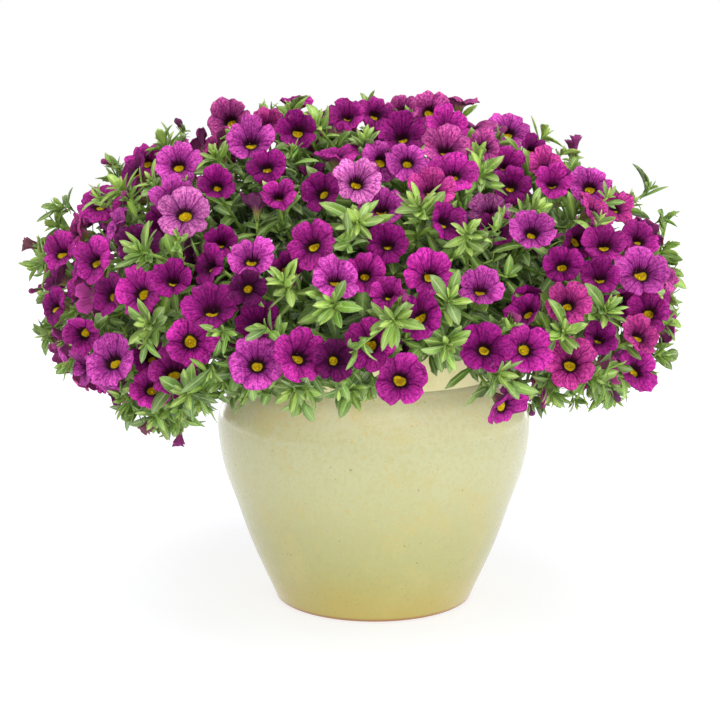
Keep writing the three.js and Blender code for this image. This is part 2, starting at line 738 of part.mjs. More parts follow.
function stemSolid(stem) {
  const shell = new Shell();
  const { path } = stem;
  const wayOut = path[path.length - 1].clone().sub(path[path.length - 2]).normalize();
  const frame = frameOf(UP, 0);
  const turn = new THREE.Quaternion().setFromUnitVectors(UP, wayOut);
  const lastFrame = {
    across: frame.across.clone().applyQuaternion(turn),
    upward: frame.upward.clone().applyQuaternion(turn),
  };
  const last = shell.tube(path, path.map(() => STEM_RADIUS), STEM_SIDES, lastFrame);
  shell.cap([...last].reverse());
  return shell.solid();
}

function bloomSolid(bloom) {
  const shell = new Shell();
  const frame = frameOf(bloom.facing, bloom.spin);
  const radii = [PEDICEL_ROOT_RADIUS, ...bloom.path.slice(2).map(() => PEDICEL_RADIUS), NECK_RADIUS];
  const neck = shell.tube(bloom.path, radii, 3, frame);
  const corners = bloom.radius < SMALL_BLOOM_RADIUS ? [0] : [-LOBE_HALF_ANGLE, LOBE_HALF_ANGLE];
  const rimPoint = (angle, share, drop) => {
    const reach = share * bloom.radius;
    const centre = along(bloom.centre, bloom.facing, -drop);
    const shifted = along(centre, frame.across, reach * Math.cos(angle * RAD));
    return shell.point(shifted.addScaledVector(frame.upward, reach * Math.sin(angle * RAD)));
  };
  const rim = [];
  for (let lobe = 0; lobe < BLOOM_LOBES; lobe += 1) {
    const middle = (360 * lobe) / BLOOM_LOBES;
    for (const corner of corners) {
      rim.push(rimPoint(middle + corner, 1, 0));
    }
    rim.push(rimPoint(middle + 180 / BLOOM_LOBES, NOTCH_RADIUS, NOTCH_DROP));
  }
  shell.bridge(neck, rim);
  shell.fan(rim, shell.point(along(bloom.centre, bloom.facing, -THROAT_DEPTH)));
  return shell.solid();
}

// A rosette: its leaves share one crown, and each has a folded blade with a blunt tip.
function shootSolid(shoot) {
  const shell = new Shell();
  const frame = frameOf(shoot.axis, shoot.leaves[0].turn);
  const radii = [PEDICEL_ROOT_RADIUS, ...shoot.path.slice(1).map(() => SHOOT_RADIUS)];
  const base = shell.tube(shoot.path, radii, 3, frame);
  const outline = [];
  shoot.leaves.forEach((leaf, k) => {
    const { way, side, top } = leafWay(shoot, leaf);
    const after = shoot.leaves[(k + 1) % shoot.leaves.length];
    const wrap = k + 1 === shoot.leaves.length ? 2 * Math.PI : 0;
    const between = frameOf(shoot.axis, (leaf.turn + after.turn + wrap) / 2).across;
    const blade = (share, half, lift) =>
      along(shoot.tip, way, share * leaf.length).addScaledVector(side, half).addScaledVector(top, lift);
    outline.push(
      shell.point(blade(LEAF_WIDEST, -LEAF_HALF_WIDTH, -LEAF_FOLD)),
      shell.point(blade(1, 0, 0)),
      shell.point(blade(LEAF_WIDEST, LEAF_HALF_WIDTH, -LEAF_FOLD)),
      shell.point(along(shoot.tip, between, CROWN_RADIUS)),
    );
  });
  shell.bridge(base, outline);
  shell.fan(outline, shell.point(along(shoot.tip, shoot.axis, CROWN_HEIGHT)));
  return shell.solid();
}

// ---- Assembly ----------------------------------------------------------------------------------

const thicket = new Thicket();
const laid = [...layStems(FLOWER_RINGS, 'flower'), ...layStems(LEAFY_RINGS, 'leafy')];
for (const stem of laid) {
  thicket.add(lineSamples(stem.path.slice(1), STEM_ROOM), { kind: 'stem', stem });
}
const blooms = placeBlooms(thicket, laid);
const shoots = placeShoots(thicket, laid);
// A stem that found room for nothing is left out.
const stems = laid.filter((stem) => stem.taken.size > 0);

const glaze = new THREE.MeshStandardMaterial({ color: 0xd3d49a, roughness: 0.25, metalness: 0 });
const compost = new THREE.MeshStandardMaterial({ color: 0x3b2a1e, roughness: 0.95, metalness: 0 });
const petal = new THREE.MeshStandardMaterial({ color: 0xa01f85, roughness: 0.6, metalness: 0 });
const leafGreen = new THREE.MeshStandardMaterial({ color: 0x6f9a3a, roughness: 0.6, metalness: 0 });

const plant = new THREE.Group();
plant.add(meshOf(potSolid(), 'pot', glaze));
plant.add(meshOf(soilSolid(stems), 'soil', compost));

function addStems(kind, pieces, pieceSolid, material) {
  stems.filter((stem) => stem.kind === kind).forEach((stem, k) => {
    const branches = pieces.filter((piece) => piece.stem === stem).map(pieceSolid);
    const joined = branches.reduce((sum, branch) => sum.add(branch), stemSolid(stem));
    plant.add(meshOf(joined, `${kind}_stem_${String(k + 1).padStart(2, '0')}`, material));
  });
}

addStems('flower', blooms, bloomSolid, petal);
addStems('leafy', shoots, shootSolid, leafGreen);

export default plant;
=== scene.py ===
"""A calibrachoa in full flower in a round glazed pot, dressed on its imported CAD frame.

The plant is laid out in millimetres by the CAD source's own seeded rule, so each fine bloom, leaf and
stem stands where its solid does. Meshes are in metres, +Z up, with -Y to the front.
"""

import math
from typing import NamedTuple

import bpy
import numpy as np
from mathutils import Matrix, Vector


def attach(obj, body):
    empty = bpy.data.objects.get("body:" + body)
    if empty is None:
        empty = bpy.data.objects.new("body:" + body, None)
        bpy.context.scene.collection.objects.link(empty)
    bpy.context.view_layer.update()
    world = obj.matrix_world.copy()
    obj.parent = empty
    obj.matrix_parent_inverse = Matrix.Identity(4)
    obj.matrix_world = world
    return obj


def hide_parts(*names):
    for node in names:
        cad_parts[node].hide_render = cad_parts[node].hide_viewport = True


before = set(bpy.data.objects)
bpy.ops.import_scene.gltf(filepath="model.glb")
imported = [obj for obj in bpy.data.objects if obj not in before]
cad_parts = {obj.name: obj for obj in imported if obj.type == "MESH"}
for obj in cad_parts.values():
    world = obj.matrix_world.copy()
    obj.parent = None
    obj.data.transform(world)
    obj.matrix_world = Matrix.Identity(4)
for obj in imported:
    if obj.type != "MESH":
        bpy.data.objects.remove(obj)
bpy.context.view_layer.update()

MM = 0.001
RAD = math.pi / 180
UP = (0.0, 0.0, 1.0)
TURN = 2 * math.pi
# Random starts of waves and leaves are drawn from nearly a turn. Leaves on a branch follow each other by
# the golden turn.
ABOUT_A_TURN = 6.28
GOLDEN_TURN = 2.4

# ---- Sizes of the pot and soil, as in the CAD source -----------------------------------------------

# Radius and height of each turning point.
POT_OUTSIDE = [
    (0, 0), (63, 0), (67, 2.5), (82.5, 38), (93, 68), (101.5, 93), (105, 115), (104, 130),
    (96, 143), (86, 152.5), (84.5, 156), (88, 175), (87, 180.5),
]
POT_INSIDE = [(81.5, 180.5), (77.5, 156), (96.5, 128), (93.5, 90), (75, 38), (62, 11), (0, 11)]
POT_TOP = 180.5
SHOULDER_HEIGHT = 140
COLLAR_OUTSIDE = 89
COLLAR_INSIDE = 77
DRAIN_HOLES = 3
DRAIN_HOLE_RADIUS = 6
DRAIN_CIRCLE_RADIUS = 32
SOIL_TOP = 164
SOIL_CROWN = 4

# ---- The plant's layout, as in the CAD source ------------------------------------------------------

MOUND_CENTRE = (-11.0, 0.0, 200.0)
MOUND_RADIUS = 208
MOUND_RISE = 128
MOUND_DROP = 92
SKIRT_SIDE = -48
SKIRT_FRONT = -19
SKIRT_BACK = -36

# Rings of stems: latitude on the mound in degrees, number of stems and phase in degrees.
FLOWER_RINGS = [(90, 1, 0), (62, 5, 18), (31, 8, 0), (-8, 10, 9)]
LEAFY_RINGS = [(76, 3, 50), (46, 6, 40), (12, 9, 20)]
STEM_STEPS = 5
STEM_FORK_DEPTH = 56
STEM_RISE = 0.42
STEM_REACH = 0.4
STEM_LIFT = 0.18
ROOT_CIRCLE_RADIUS = 59
ROOT_LATITUDE_SPAN = 98
ROOT_DEPTH = 12
STEM_COLLAR = 5
BUD_SPACING = 6
NEAREST_STEMS = 3

BLOOM_TARGET = 208
BLOOM_DRAWS = 2600
BLOOM_SINE_SPAN = 1.75
BLOOM_SCATTER = 8
BLOOM_RADIUS_MIN = 11
BLOOM_RADIUS_SPAN = 3.4
THROAT_DEPTH = 5.6
THROAT_SLOPE = 0.8
NECK_DEPTH = 11
BRANCH_PULLS = [0.42, 0.25, 0.6]
STRAIGHT_BRANCH = 0.8
# Blooms on the front of the mound: place across and up, radius, degrees that the face turns to the right and
# lifts, and tone. The tone is partly each bloom's own colour and partly painted light and shade: darker (K,
# D) for blooms in shade, rosy pale (R) for those at the top.
FRONT_BLOOMS = [
    (-196, 241, 12.5, -30, 20, "M"), (-166, 240, 13, -35, 10, "M"), (-133, 225, 13.5, -30, 15, "M"),
    (-113, 234, 10.5, 0, 30, "D"), (-94, 241, 11.5, -45, 20, "D"), (-90, 220, 14.5, 0, 42, "D"),
    (-102, 201, 13.5, 10, -5, "M"), (-87, 202, 10, -35, 20, "P"), (-113, 183, 14, 0, 32, "M"),
    (-128, 170, 11.5, 5, 25, "M"), (-152, 185, 15.5, -30, 25, "L"), (-172, 197, 11, -20, -15, "M"),
    (-196, 210, 11.5, -45, 15, "D"), (-153, 222, 11.5, -40, 20, "D"), (-130, 186, 10, 0, 30, "D"),
    (-70, 231, 9.5, 0, 10, "K"), (-69, 246, 12.5, 0, 30, "L"), (-65, 191, 14, 0, 20, "L"),
    (-65, 211, 12, -20, 35, "D"), (-41, 196, 13.5, 30, 15, "M"), (-23, 194, 10.5, 10, 5, "K"),
    (13, 183, 13.5, 15, 0, "M"), (-4, 201, 13.5, -10, 10, "M"), (22, 217, 11.5, -20, 5, "D"),
    (28, 239, 12.5, 0, 15, "M"), (5, 229, 9, -30, 30, "M"), (-22, 237, 12, 15, 30, "L"),
    (-36, 254, 12.5, -25, 10, "M"), (-7, 238, 10.5, 0, 20, "M"), (6, 254, 11, 0, 28, "D"),
    (56, 231, 11.5, 0, 35, "L"), (58, 199, 12.5, 0, 10, "D"), (82, 197, 13, 15, 10, "M"),
    (83, 215, 10.5, -40, 30, "D"), (109, 186, 13.5, 0, 10, "P"), (96, 177, 12, 0, -10, "P"),
    (73, 161, 13, 40, -30, "M"), (107, 220, 11.5, 0, 32, "P"), (105, 240, 10.5, -10, 28, "D"),
    (127, 199, 9.5, 20, 30, "D"), (128, 233, 11, 0, 32, "D"), (159, 232, 16, 10, 30, "L"),
    (156, 196, 12.5, 35, 30, "P"), (163, 208, 12, -15, 10, "M"), (159, 172, 13.5, 35, 25, "M"),
    (133, 250, 12, 0, 30, "M"), (128, 221, 11, 0, 30, "M"), (186, 226, 11, 65, 20, "R"),
    (-75, 309, 14, 0, 32, "L"), (-95, 322, 13.5, -10, 20, "R"), (-151, 295, 12, -15, 25, "M"),
    (-119, 295, 13, 0, 28, "L"), (-109, 269, 14.5, 0, 32, "A"), (-118, 277, 11.5, -10, 30, "L"),
    (-92, 284, 10, 0, 28, "D"), (-87, 267, 10.5, 45, 10, "M"), (-171, 271, 13.5, -20, 38, "M"),
    (-136, 250, 12.5, 0, 32, "K"), (-88, 253, 9, 0, 25, "D"), (-51, 334, 10, 30, 80, "M"),
    (-68, 320, 9.5, 0, 42, "P"), (-47, 315, 11, 0, 10, "D"), (-63, 295, 10.5, 0, 32, "D"),
    (-55, 280, 9, 0, 38, "M"), (-68, 275, 8, 0, 90, "K"), (-31, 281, 10.5, -20, 10, "D"),
    (-47, 269, 12, 0, 32, "D"), (-23, 302, 12.5, 0, 75, "M"), (-11, 287, 12.5, 10, 28, "A"),
    (3, 272, 11.5, 0, 28, "L"), (-17, 325, 10.5, 0, 30, "M"), (1, 326, 11, 20, 30, "M"),
    (18, 330, 10, 0, 35, "R"), (37, 328, 13.5, 0, 15, "R"), (57, 336, 13, 0, 90, "R"),
    (63, 319, 14.5, 0, 80, "R"), (41, 305, 13, 0, 35, "R"), (18, 298, 11, 0, 30, "L"),
    (4, 298, 11, 30, 20, "L"), (44, 291, 13, 0, 38, "M"), (31, 283, 12.5, 0, 38, "P"),
    (38, 266, 11, 40, 20, "D"), (66, 306, 9.5, 20, 20, "R"), (89, 315, 13.5, 10, 30, "L"),
    (99, 303, 9, 30, 10, "D"), (104, 294, 11, 25, 30, "P"), (105, 285, 10, 0, 28, "M"),
    (94, 271, 13, 0, 28, "M"), (81, 283, 11.5, 0, 28, "D"), (67, 254, 10, -25, 25, "D"),
    (67, 268, 13, 0, 38, "A"), (88, 259, 12.5, 0, 35, "L"), (113, 263, 10.5, 25, 20, "D"),
    (132, 281, 12.5, 0, 20, "L"), (150, 269, 12, 30, 38, "P"), (162, 250, 11.5, 25, 25, "M"),
]
SINK_STEP = 4
SINK_STEPS = 11
# Places at the front that only the listed blooms and shoots hang over: from and to across, and top.
BARE_PLACES = [(-60, 62, 184), (70, 150, 152)]
SPRIG_BARE_PLACES = [(28, 62, 184), (70, 150, 152)]
FACE_LIFT = 0.62
FACE_TILT = 22
FACE_TURN = 28.6

SHOOT_TARGET = 63
SHOOT_DRAWS = 6000
SHOOT_SINE_SPAN = 1.8
SHOOT_SPACING = 24
SHOOT_ATTEMPTS = 24
SHOOT_DEPTH = 10
SHOOT_DEPTH_SPAN = 16
FRONT_SHOOT_SINK = 6
SHOOT_DROOP = 2.2
SHOOT_HANG = 0.12
SHOOT_SWAY = 0.5
SHOOT_NOD = 0.25
SHOOT_NOD_SPAN = 0.4
SHOOT_LIFT = 0.75
SHOOT_LEAVES = 4
LEAF_LENGTH_MIN = 14
LEAF_LENGTH_SPAN = 6
LEAF_SPLAY_MIN = 34
LEAF_SPLAY_SPAN = 44
LEAF_TURN_SPREAD = 0.3
CROWN_HEIGHT = 1.7
FRONT_SHOOTS = [
    (-96, 300), (-139, 308), (-173, 284), (-215, 253), (-192, 257), (-219, 233), (-134, 248),
    (-72, 326), (-37, 320), (-51, 234), (-24, 224), (8, 215), (39, 226), (38, 200), (52, 215),
    (-105, 173), (-152, 155), (-131, 134), (-46, 176), (-14, 175), (-127, 209), (-10, 265), (171, 267),
    (195, 237), (198, 199), (183, 173), (131, 215), (104, 205), (66, 184), (128, 172), (160, 147),
    (113, 312), (62, 291), (50, 259), (23, 274), (74, 320),
]

PETAL_ROOM = 2.2
LEAF_ROOM = 2
STEM_ROOM = 2.8
PEDICEL_ROOM = 1.7
GAP = 0.9
GRID = 6.2
SAMPLE_STEP = 3
# Where room is tested: rings of a bloom, as share of its radius and number of places, and shares of a leaf.
BLOOM_TESTS = [(0.93, 16), (0.62, 10), (0.3, 5)]
LEAF_TESTS = [0.3, 0.53, 0.76, 1]

SPIN_SEED = 90000
SHOOT_SEED = 50000
FRONT_SHOOT_SEED = 20000

# ---- Growth that only the dressed plant has --------------------------------------------------------

SPRIG_SEED = 70000
FRONT_SPRIG_SEED = 60000
SPRIG_DRAWS = 9000
SPRIG_TARGET = 330
# Depth in the mound: its span, how far the first ones stand proud of it at the front, how deep they
# start elsewhere, and the sine of the azimuth where the front begins. Then how far they turn and lift.
SPRIG_DEPTH_SPAN = 50
SPRIG_PROUD = 5
SPRIG_SUNK = 2
SPRIG_FRONT = -0.3
SPRIG_TURN = 1.2
SPRIG_LIFT = 0.8
SPRIG_SPACING = 9
SPRIG_ROOM = 0.5
SPRIG_ROOTS = 6
# Twigs: shortest and longest, how straight they leave, where they leave the branch and their clearance.
SPRIG_REACH = (5, 26)
TWIG_STRAIGHTNESS = 0.2
TWIG_START = 2
TWIG_GAP = 0.1
# Leaves of a sprig: how many, with splay in degrees and length as least and span.
SPRIG_LEAVES = 4
OUTER_SPRIG_LEAVES = 5
OUTER_SPRIG_DEPTH = 14
SPRIG_SPLAY = (24, 50)
SPRIG_LEAF_MIN = 10
SPRIG_LEAF_SPAN = 6
FRONT_SPRIG_LEAVES = 5
FRONT_SPRIG_SPLAY = (25, 45)
FRONT_SPRIG_LENGTH = (12, 7)
# Sprigs with a flower that isn't open: their share, how deep they stand and their leaves.
BUD_SHARE = 0.1
BUD_DEPTH = 12
BUD_LEAVES = 2
BUD_LEAF_MIN = 6
FRONT_BUD_LEAVES = [{"turn": 0, "splay": 60 * RAD, "length": 6}, {"turn": 3, "splay": 70 * RAD, "length": 7}]
LATE_SEED = 80000
LATE_DRAWS = 6000
LATE_TARGET = 50
LATE_DEPTH = (8, 34)
LATE_RADIUS = (8.5, 12)
LATE_SPACING = 14
LATE_TURN = 1.1
LATE_LIFT = 0.7
SIDE_SEED = 85000
SIDE_DRAWS = 9000
SIDE_TARGET = 70
SIDE_SECTOR = 150
SIDE_DEPTH = (2, 22)
SIDE_RADIUS = (9.5, 13)
LOOK_SEED = 30000
# Small growth on the front: place across and up, turn and lift of the way it points, and the kind of
# its flower that isn't open, or none for leaves only.
FRONT_SPRIGS = [
    (-126, 315, -30, 50, "dark"), (-173, 292, -60, 30, "closed"), (-221, 210, -75, -5, "closed"),
    (-222, 238, -80, 10, "dry"), (130, 270, 15, 75, "dry"), (132, 298, 10, 80, "spent"),
    (190, 160, 40, -40, "dry"), (88, 160, 20, -60, "dark"), (140, 165, 30, -50, "dark"),
    (-122, 132, -10, -70, "spent"), (-132, 148, -40, -50, "dry"), (13, 224, 10, 30, "closed"),
    (74, 211, 20, 40, "closed"), (-84, 178, -10, -55, None), (-72, 171, 5, -70, None),
    (-60, 180, -15, -50, None), (-38, 178, -5, -55, None), (-20, 180, 10, -50, None),
    (-4, 174, -10, -65, None), (-98, 165, -20, -60, None), (-112, 156, -10, -60, None),
    (-118, 144, -25, -55, None), (-134, 138, -30, -45, None), (-146, 146, -45, -35, None),
    (-160, 152, -40, -40, None), (72, 178, 15, -50, None), (150, 150, 30, -60, None),
    (166, 158, 40, -50, None), (172, 146, 30, -60, None), (100, 166, 20, -60, None),
    (196, 240, 70, 10, None), (198, 222, 75, -10, None), (194, 259, 65, 30, None), (184, 277, 60, 45, None),
    (198, 203, 70, -25, None), (194, 186, 65, -35, None), (174, 290, 55, 50, None),
    (-222, 245, -75, 15, None), (-225, 226, -80, 0, None), (-220, 206, -75, -20, None),
    (-210, 266, -70, 30, None), (-196, 283, -65, 45, None), (-176, 298, -60, 50, None),
    (-90, 186, 0, -40, None), (-76, 183, 10, -50, None), (-186, 176, -50, -30, None),
    (-202, 190, -60, -30, None), (118, 176, 20, -50, None), (186, 170, 50, -40, None),
]
FRONT_SPRIG_ATTEMPTS = 8
FRONT_SPRIG_SINK_STEP = 4
FRONT_SPRIG_PROUD = 6


# ---- Seeded draws ----------------------------------------------------------------------------------

# The largest 32-bit number, the factor that spreads seeds and the step of the state between draws.
WORD = 0xFFFFFFFF
SEED_SPREAD = 0x9E3779B1
DRAW_STEP = 0x6D2B79F5


def lottery(seed):
    """Seeded numbers from 0 to 1, the same as the CAD source draws."""
    state = ((seed + 1) * SEED_SPREAD) & WORD

    def draw():
        nonlocal state
        state = (state + DRAW_STEP) & WORD
        mixed = ((state ^ (state >> 15)) * (1 | state)) & WORD
        mixed = ((mixed + (mixed ^ (mixed >> 7)) * (61 | mixed)) ^ mixed) & WORD
        return (mixed ^ (mixed >> 14)) / (WORD + 1)

    return draw


# ---- Vectors as tuples, in millimetres -------------------------------------------------------------


def along(start, way, distance):
    return (start[0] + way[0] * distance, start[1] + way[1] * distance, start[2] + way[2] * distance)


def mix(a, b, share):
    return (a[0] + (b[0] - a[0]) * share, a[1] + (b[1] - a[1]) * share, a[2] + (b[2] - a[2]) * share)


def minus(a, b):
    return (a[0] - b[0], a[1] - b[1], a[2] - b[2])


def dot(a, b):
    return a[0] * b[0] + a[1] * b[1] + a[2] * b[2]


def cross(a, b):
    return (a[1] * b[2] - a[2] * b[1], a[2] * b[0] - a[0] * b[2], a[0] * b[1] - a[1] * b[0])


def length(a):
    return math.sqrt(dot(a, a))


def unit(a):
    scale = 1 / (length(a) or 1)
    return (a[0] * scale, a[1] * scale, a[2] * scale)


def distance(a, b):
    return length(minus(a, b))


def direction(azimuth, elevation):
    level = math.cos(elevation)
    return (level * math.cos(azimuth), level * math.sin(azimuth), math.sin(elevation))


def frame_of(axis, spin):
    """Two unit vectors square to axis, turned by spin."""
    side = cross(UP, axis)
    if dot(side, side) < 1e-6:
        side = (1.0, 0.0, 0.0)
    side = unit(side)
    rise = cross(axis, side)
    cosine, sine = math.cos(spin), math.sin(spin)
    across = along(along((0, 0, 0), side, cosine), rise, sine)
    upward = along(along((0, 0, 0), rise, cosine), side, -sine)
    return across, upward


# ---- Mound and pot ---------------------------------------------------------------------------------


def mound_point(azimuth, latitude, depth):
    reach = (MOUND_RADIUS - depth) * math.cos(latitude)
    height = ((MOUND_RISE if latitude > 0 else MOUND_DROP) - depth) * math.sin(latitude)
    return (
        MOUND_CENTRE[0] + reach * math.cos(azimuth),
        MOUND_CENTRE[1] + reach * math.sin(azimuth),
        MOUND_CENTRE[2] + height,
    )


def mound_slope(latitude):
    height = MOUND_RISE if latitude > 0 else MOUND_DROP
    return math.atan2(math.sin(latitude) / height, math.cos(latitude) / MOUND_RADIUS)


def skirt_latitude(azimuth):
    turn = math.sin(azimuth)
    facing = SKIRT_FRONT if turn < 0 else SKIRT_BACK
    return (SKIRT_SIDE + (facing - SKIRT_SIDE) * turn * turn) * RAD


def radius_at(profile, height):
    for (r0, z0), (r1, z1) in zip(profile, profile[1:]):
        if min(z0, z1) <= height <= max(z0, z1) and z0 != z1:
            return r0 + ((r1 - r0) * (height - z0)) / (z1 - z0)
    return 0


def hits_pot(point, room):
    if point[2] > POT_TOP + room + GAP:
        return False
    reach = math.hypot(point[0], point[1])
    height = min(max(point[2], 0.1), POT_TOP - 0.1)
    outside = max(radius_at(POT_OUTSIDE, height), COLLAR_OUTSIDE if point[2] > SHOULDER_HEIGHT else 0)
    inside = min(radius_at(POT_INSIDE, height), COLLAR_INSIDE)
    clear_outside = reach > outside + room + GAP
    clear_inside = reach < inside - room - GAP and point[2] > SOIL_TOP + SOIL_CROWN + room
    return not clear_outside and not clear_inside


class Thicket:
    """What is already placed, as small spheres in a grid. Owners are (kind, stem)."""

    def __init__(self):
        self.cells = {}

    def add(self, samples, owner):
        for centre, room in samples:
            key = (math.floor(centre[0] / GRID), math.floor(centre[1] / GRID), math.floor(centre[2] / GRID))
            self.cells.setdefault(key, []).append((centre, room, owner))

    def near(self, centre):
        """What stands in the cells round a point."""
        i, j, k = (math.floor(value / GRID) for value in centre)
        for cell in range(27):
            key = (i + cell % 3 - 1, j + cell // 3 % 3 - 1, k + cell // 9 - 1)
            yield from self.cells.get(key, ())

    def blocks(self, samples, kin=None, gap=GAP):
        """True where a sample comes too near another piece. kin is an owner that doesn't count."""
        for centre, room in samples:
            if hits_pot(centre, room):
                return True
            for other, other_room, owner in self.near(centre):
                reach = room + other_room + gap
                apart = minus(centre, other)
                if dot(apart, apart) < reach * reach and owner != kin:
                    return True
        return False

    def in_bloom(self, centre, room):
        """True where a point of a leaf would be in a bloom or in the pot."""
        if hits_pot(centre, room):
            return True
        return any(
            owner[0] == "bloom" and distance(centre, other) < room + other_room
            for other, other_room, owner in self.near(centre)
        )


def line_samples(points, room):
    samples = []
    for start, end in zip(points, points[1:]):
        steps = max(1, math.ceil(distance(start, end) / SAMPLE_STEP))
        samples += [(mix(start, end, step / steps), room) for step in range(steps)]
    return samples + [(points[-1], room)]


# ---- Smooth curves ---------------------------------------------------------------------------------


def curve_through(path, steps):
    """Points of a smooth curve through two or three points, or a Catmull-Rom curve through more."""
    path = np.array(path, float)
    share = np.linspace(0, 1, steps)[:, None]
    if len(path) == 2:
        return path[0] + (path[1] - path[0]) * share
    if len(path) == 3:
        pull = 2 * path[1] - (path[0] + path[2]) / 2
        return path[0] * (1 - share) ** 2 + pull * 2 * share * (1 - share) + path[2] * share**2
    padded = mirrored(path)
    return np.array([catmull(padded, place) for place in np.linspace(0, len(path) - 1, steps)])


def mirrored(path):
    """The path with one more point beyond each end."""
    return np.concatenate([[2 * path[0] - path[1]], path, [2 * path[-1] - path[-2]]])


def catmull(padded, place):
    knot = min(int(place), len(padded) - 4)
    t = place - knot
    a, b, c, d = padded[knot : knot + 4]
    return 0.5 * (2 * b + (c - a) * t + (2 * a - 5 * b + 4 * c - d) * t**2 + (3 * b - a - 3 * c + d) * t**3)


# ---- Layout ----------------------------------------------------------------------------------------


class Stem:
    """A main stem: its path, the buds along it, and what grows on it."""

    def __init__(self, kind, ring, turn):
        latitude, count, phase = ring
        azimuth = (phase + 360 * turn / count) * RAD
        root_reach = ROOT_CIRCLE_RADIUS * (90 - latitude) / ROOT_LATITUDE_SPAN
        root = along((0, 0, SOIL_TOP + SOIL_CROWN), direction(azimuth, 0), root_reach)
        collar = along(root, UP, STEM_COLLAR)
        fork = mound_point(azimuth, latitude * RAD, STEM_FORK_DEPTH)
        span = distance(collar, fork)
        outward = direction(azimuth, mound_slope(latitude * RAD))
        rise = along(collar, UP, STEM_RISE * span)
        arch = along(along(fork, outward, -STEM_REACH * span), UP, STEM_LIFT * span)
        self.kind = kind
        self.path = [along(root, UP, -ROOT_DEPTH)]
        corners = (collar, rise, arch, fork)
        self.path += [bezier(corners, step / (STEM_STEPS - 1)) for step in range(STEM_STEPS)]
        self.places = self.bud_places()
        self.buds = [self.polyline(place) for place in self.places]
        self.taken = set()
        self.blooms = []
        self.shoots = []
        self.sprigs = []
        self.late_blooms = []

    def bud_places(self):
        """Places where branches may leave, counted in path knots, from the end back."""
        places = [float(STEM_STEPS)]
        for knot in range(STEM_STEPS, STEM_STEPS - 3, -1):
            count = math.floor(distance(self.path[knot], self.path[knot - 1]) / BUD_SPACING)
            places += [knot - bud / count for bud in range(1, count)]
        return places

    def polyline(self, place):
        knot = math.ceil(place)
        return mix(self.path[knot], self.path[knot - 1], knot - place)

    def smooth(self, place):
        """The point at a place on the smooth curve through the path's knots."""
        return catmull(mirrored(np.array(self.path, float)), place)


def bezier(corners, t):
    a, b, c, d = corners
    k = 1 - t
    weights = (k * k * k, 3 * k * k * t, 3 * k * t * t, t * t * t)
    return tuple(sum(w * corner[axis] for w, corner in zip(weights, (a, b, c, d))) for axis in range(3))


def lay_stems(rings, kind):
    return [Stem(kind, ring, turn) for ring in rings for turn in range(ring[1])]


def bloom_samples(bloom, room=PETAL_ROOM):
    across, upward = frame_of(bloom["facing"], 0)
    samples = [(along(bloom["centre"], bloom["facing"], -THROAT_DEPTH), room)]
    for share, count in BLOOM_TESTS:
        middle = along(bloom["centre"], bloom["facing"], -THROAT_DEPTH * (1 - share) * THROAT_SLOPE)
        for turn in range(count):
            angle = TURN * turn / count
            reach = share * bloom["radius"]
            centre = along(along(middle, across, reach * math.cos(angle)), upward, reach * math.sin(angle))
            samples.append((centre, room))
    samples.append((along(bloom["centre"], bloom["facing"], -THROAT_SLOPE * NECK_DEPTH), room))
    return samples


def leaf_way(axis, turn, splay):
    across, _ = frame_of(axis, turn)
    return along(along((0, 0, 0), axis, math.cos(splay)), across, math.sin(splay))


def leaf_samples(shoot, room=LEAF_ROOM):
    samples = []
    for leaf in shoot["leaves"]:
        way = leaf_way(shoot["axis"], leaf["turn"], leaf["splay"])
        for share in LEAF_TESTS:
            samples.append((along(shoot["tip"], way, share * leaf["length"]), room))
    return samples


def branch_paths(root, end, facing):
    chord = minus(end, root)
    span = length(chord)
    paths = []
    for pull in BRANCH_PULLS:
        bend = along(end, facing, -pull * span)
        paths.append([root, mix(mix(root, bend, 0.5), mix(bend, end, 0.5), 0.5), end])
    return [[root, end], *paths] if dot(chord, facing) > STRAIGHT_BRANCH * span else paths


def find_route(thicket, stems, kind, end, facing):
    """A branch path to end, along facing, from one of the nearest stems of that kind."""
    of_kind = [stem for stem in stems if stem.kind == kind]
    near = sorted(of_kind, key=lambda stem: distance(stem.path[-1], end))
    for stem in near[:NEAREST_STEMS]:
        for bud, root in enumerate(stem.buds):
            if bud in stem.taken:
                continue
            for path in branch_paths(root, end, facing):
                samples = line_samples(path, PEDICEL_ROOM)
                if not thicket.blocks(samples, ("stem", stem)):
                    stem.taken.add(bud)
                    return {"stem": stem, "path": path, "samples": samples, "place": stem.places[bud]}
    return None


def place_bloom(thicket, stems, blooms, bloom):
    petals = bloom_samples(bloom)
    if thicket.blocks(petals):
        return False
    neck = along(bloom["centre"], bloom["facing"], -NECK_DEPTH)
    route = find_route(thicket, stems, "flower", neck, bloom["facing"])
    if not route:
        return False
    thicket.add(petals, ("bloom", route["stem"]))
    thicket.add(route["samples"], ("branch", route["stem"]))
    blooms.append({**bloom, **route})
    return True


def front_point(x, z, sink):
    across = (x - MOUND_CENTRE[0]) / MOUND_RADIUS
    height = (z - MOUND_CENTRE[2]) / (MOUND_RISE if z > MOUND_CENTRE[2] else MOUND_DROP)
    bulge = math.sqrt(max(0, 1 - across * across - height * height))
    return (x, MOUND_CENTRE[1] - MOUND_RADIUS * bulge + sink, z)


def place_front_blooms(thicket, stems, blooms):
    for index, (x, z, radius, turn, lift, tone) in enumerate(FRONT_BLOOMS):
        facing = direction((turn - 90) * RAD, lift * RAD)
        spin = TURN * lottery(SPIN_SEED + index)()
        for step in range(SINK_STEPS):
            centre = front_point(x, z, SINK_STEP * step)
            bloom = {"centre": centre, "radius": radius, "spin": spin, "facing": facing, "tone": tone}
            if place_bloom(thicket, stems, blooms, bloom):
                break


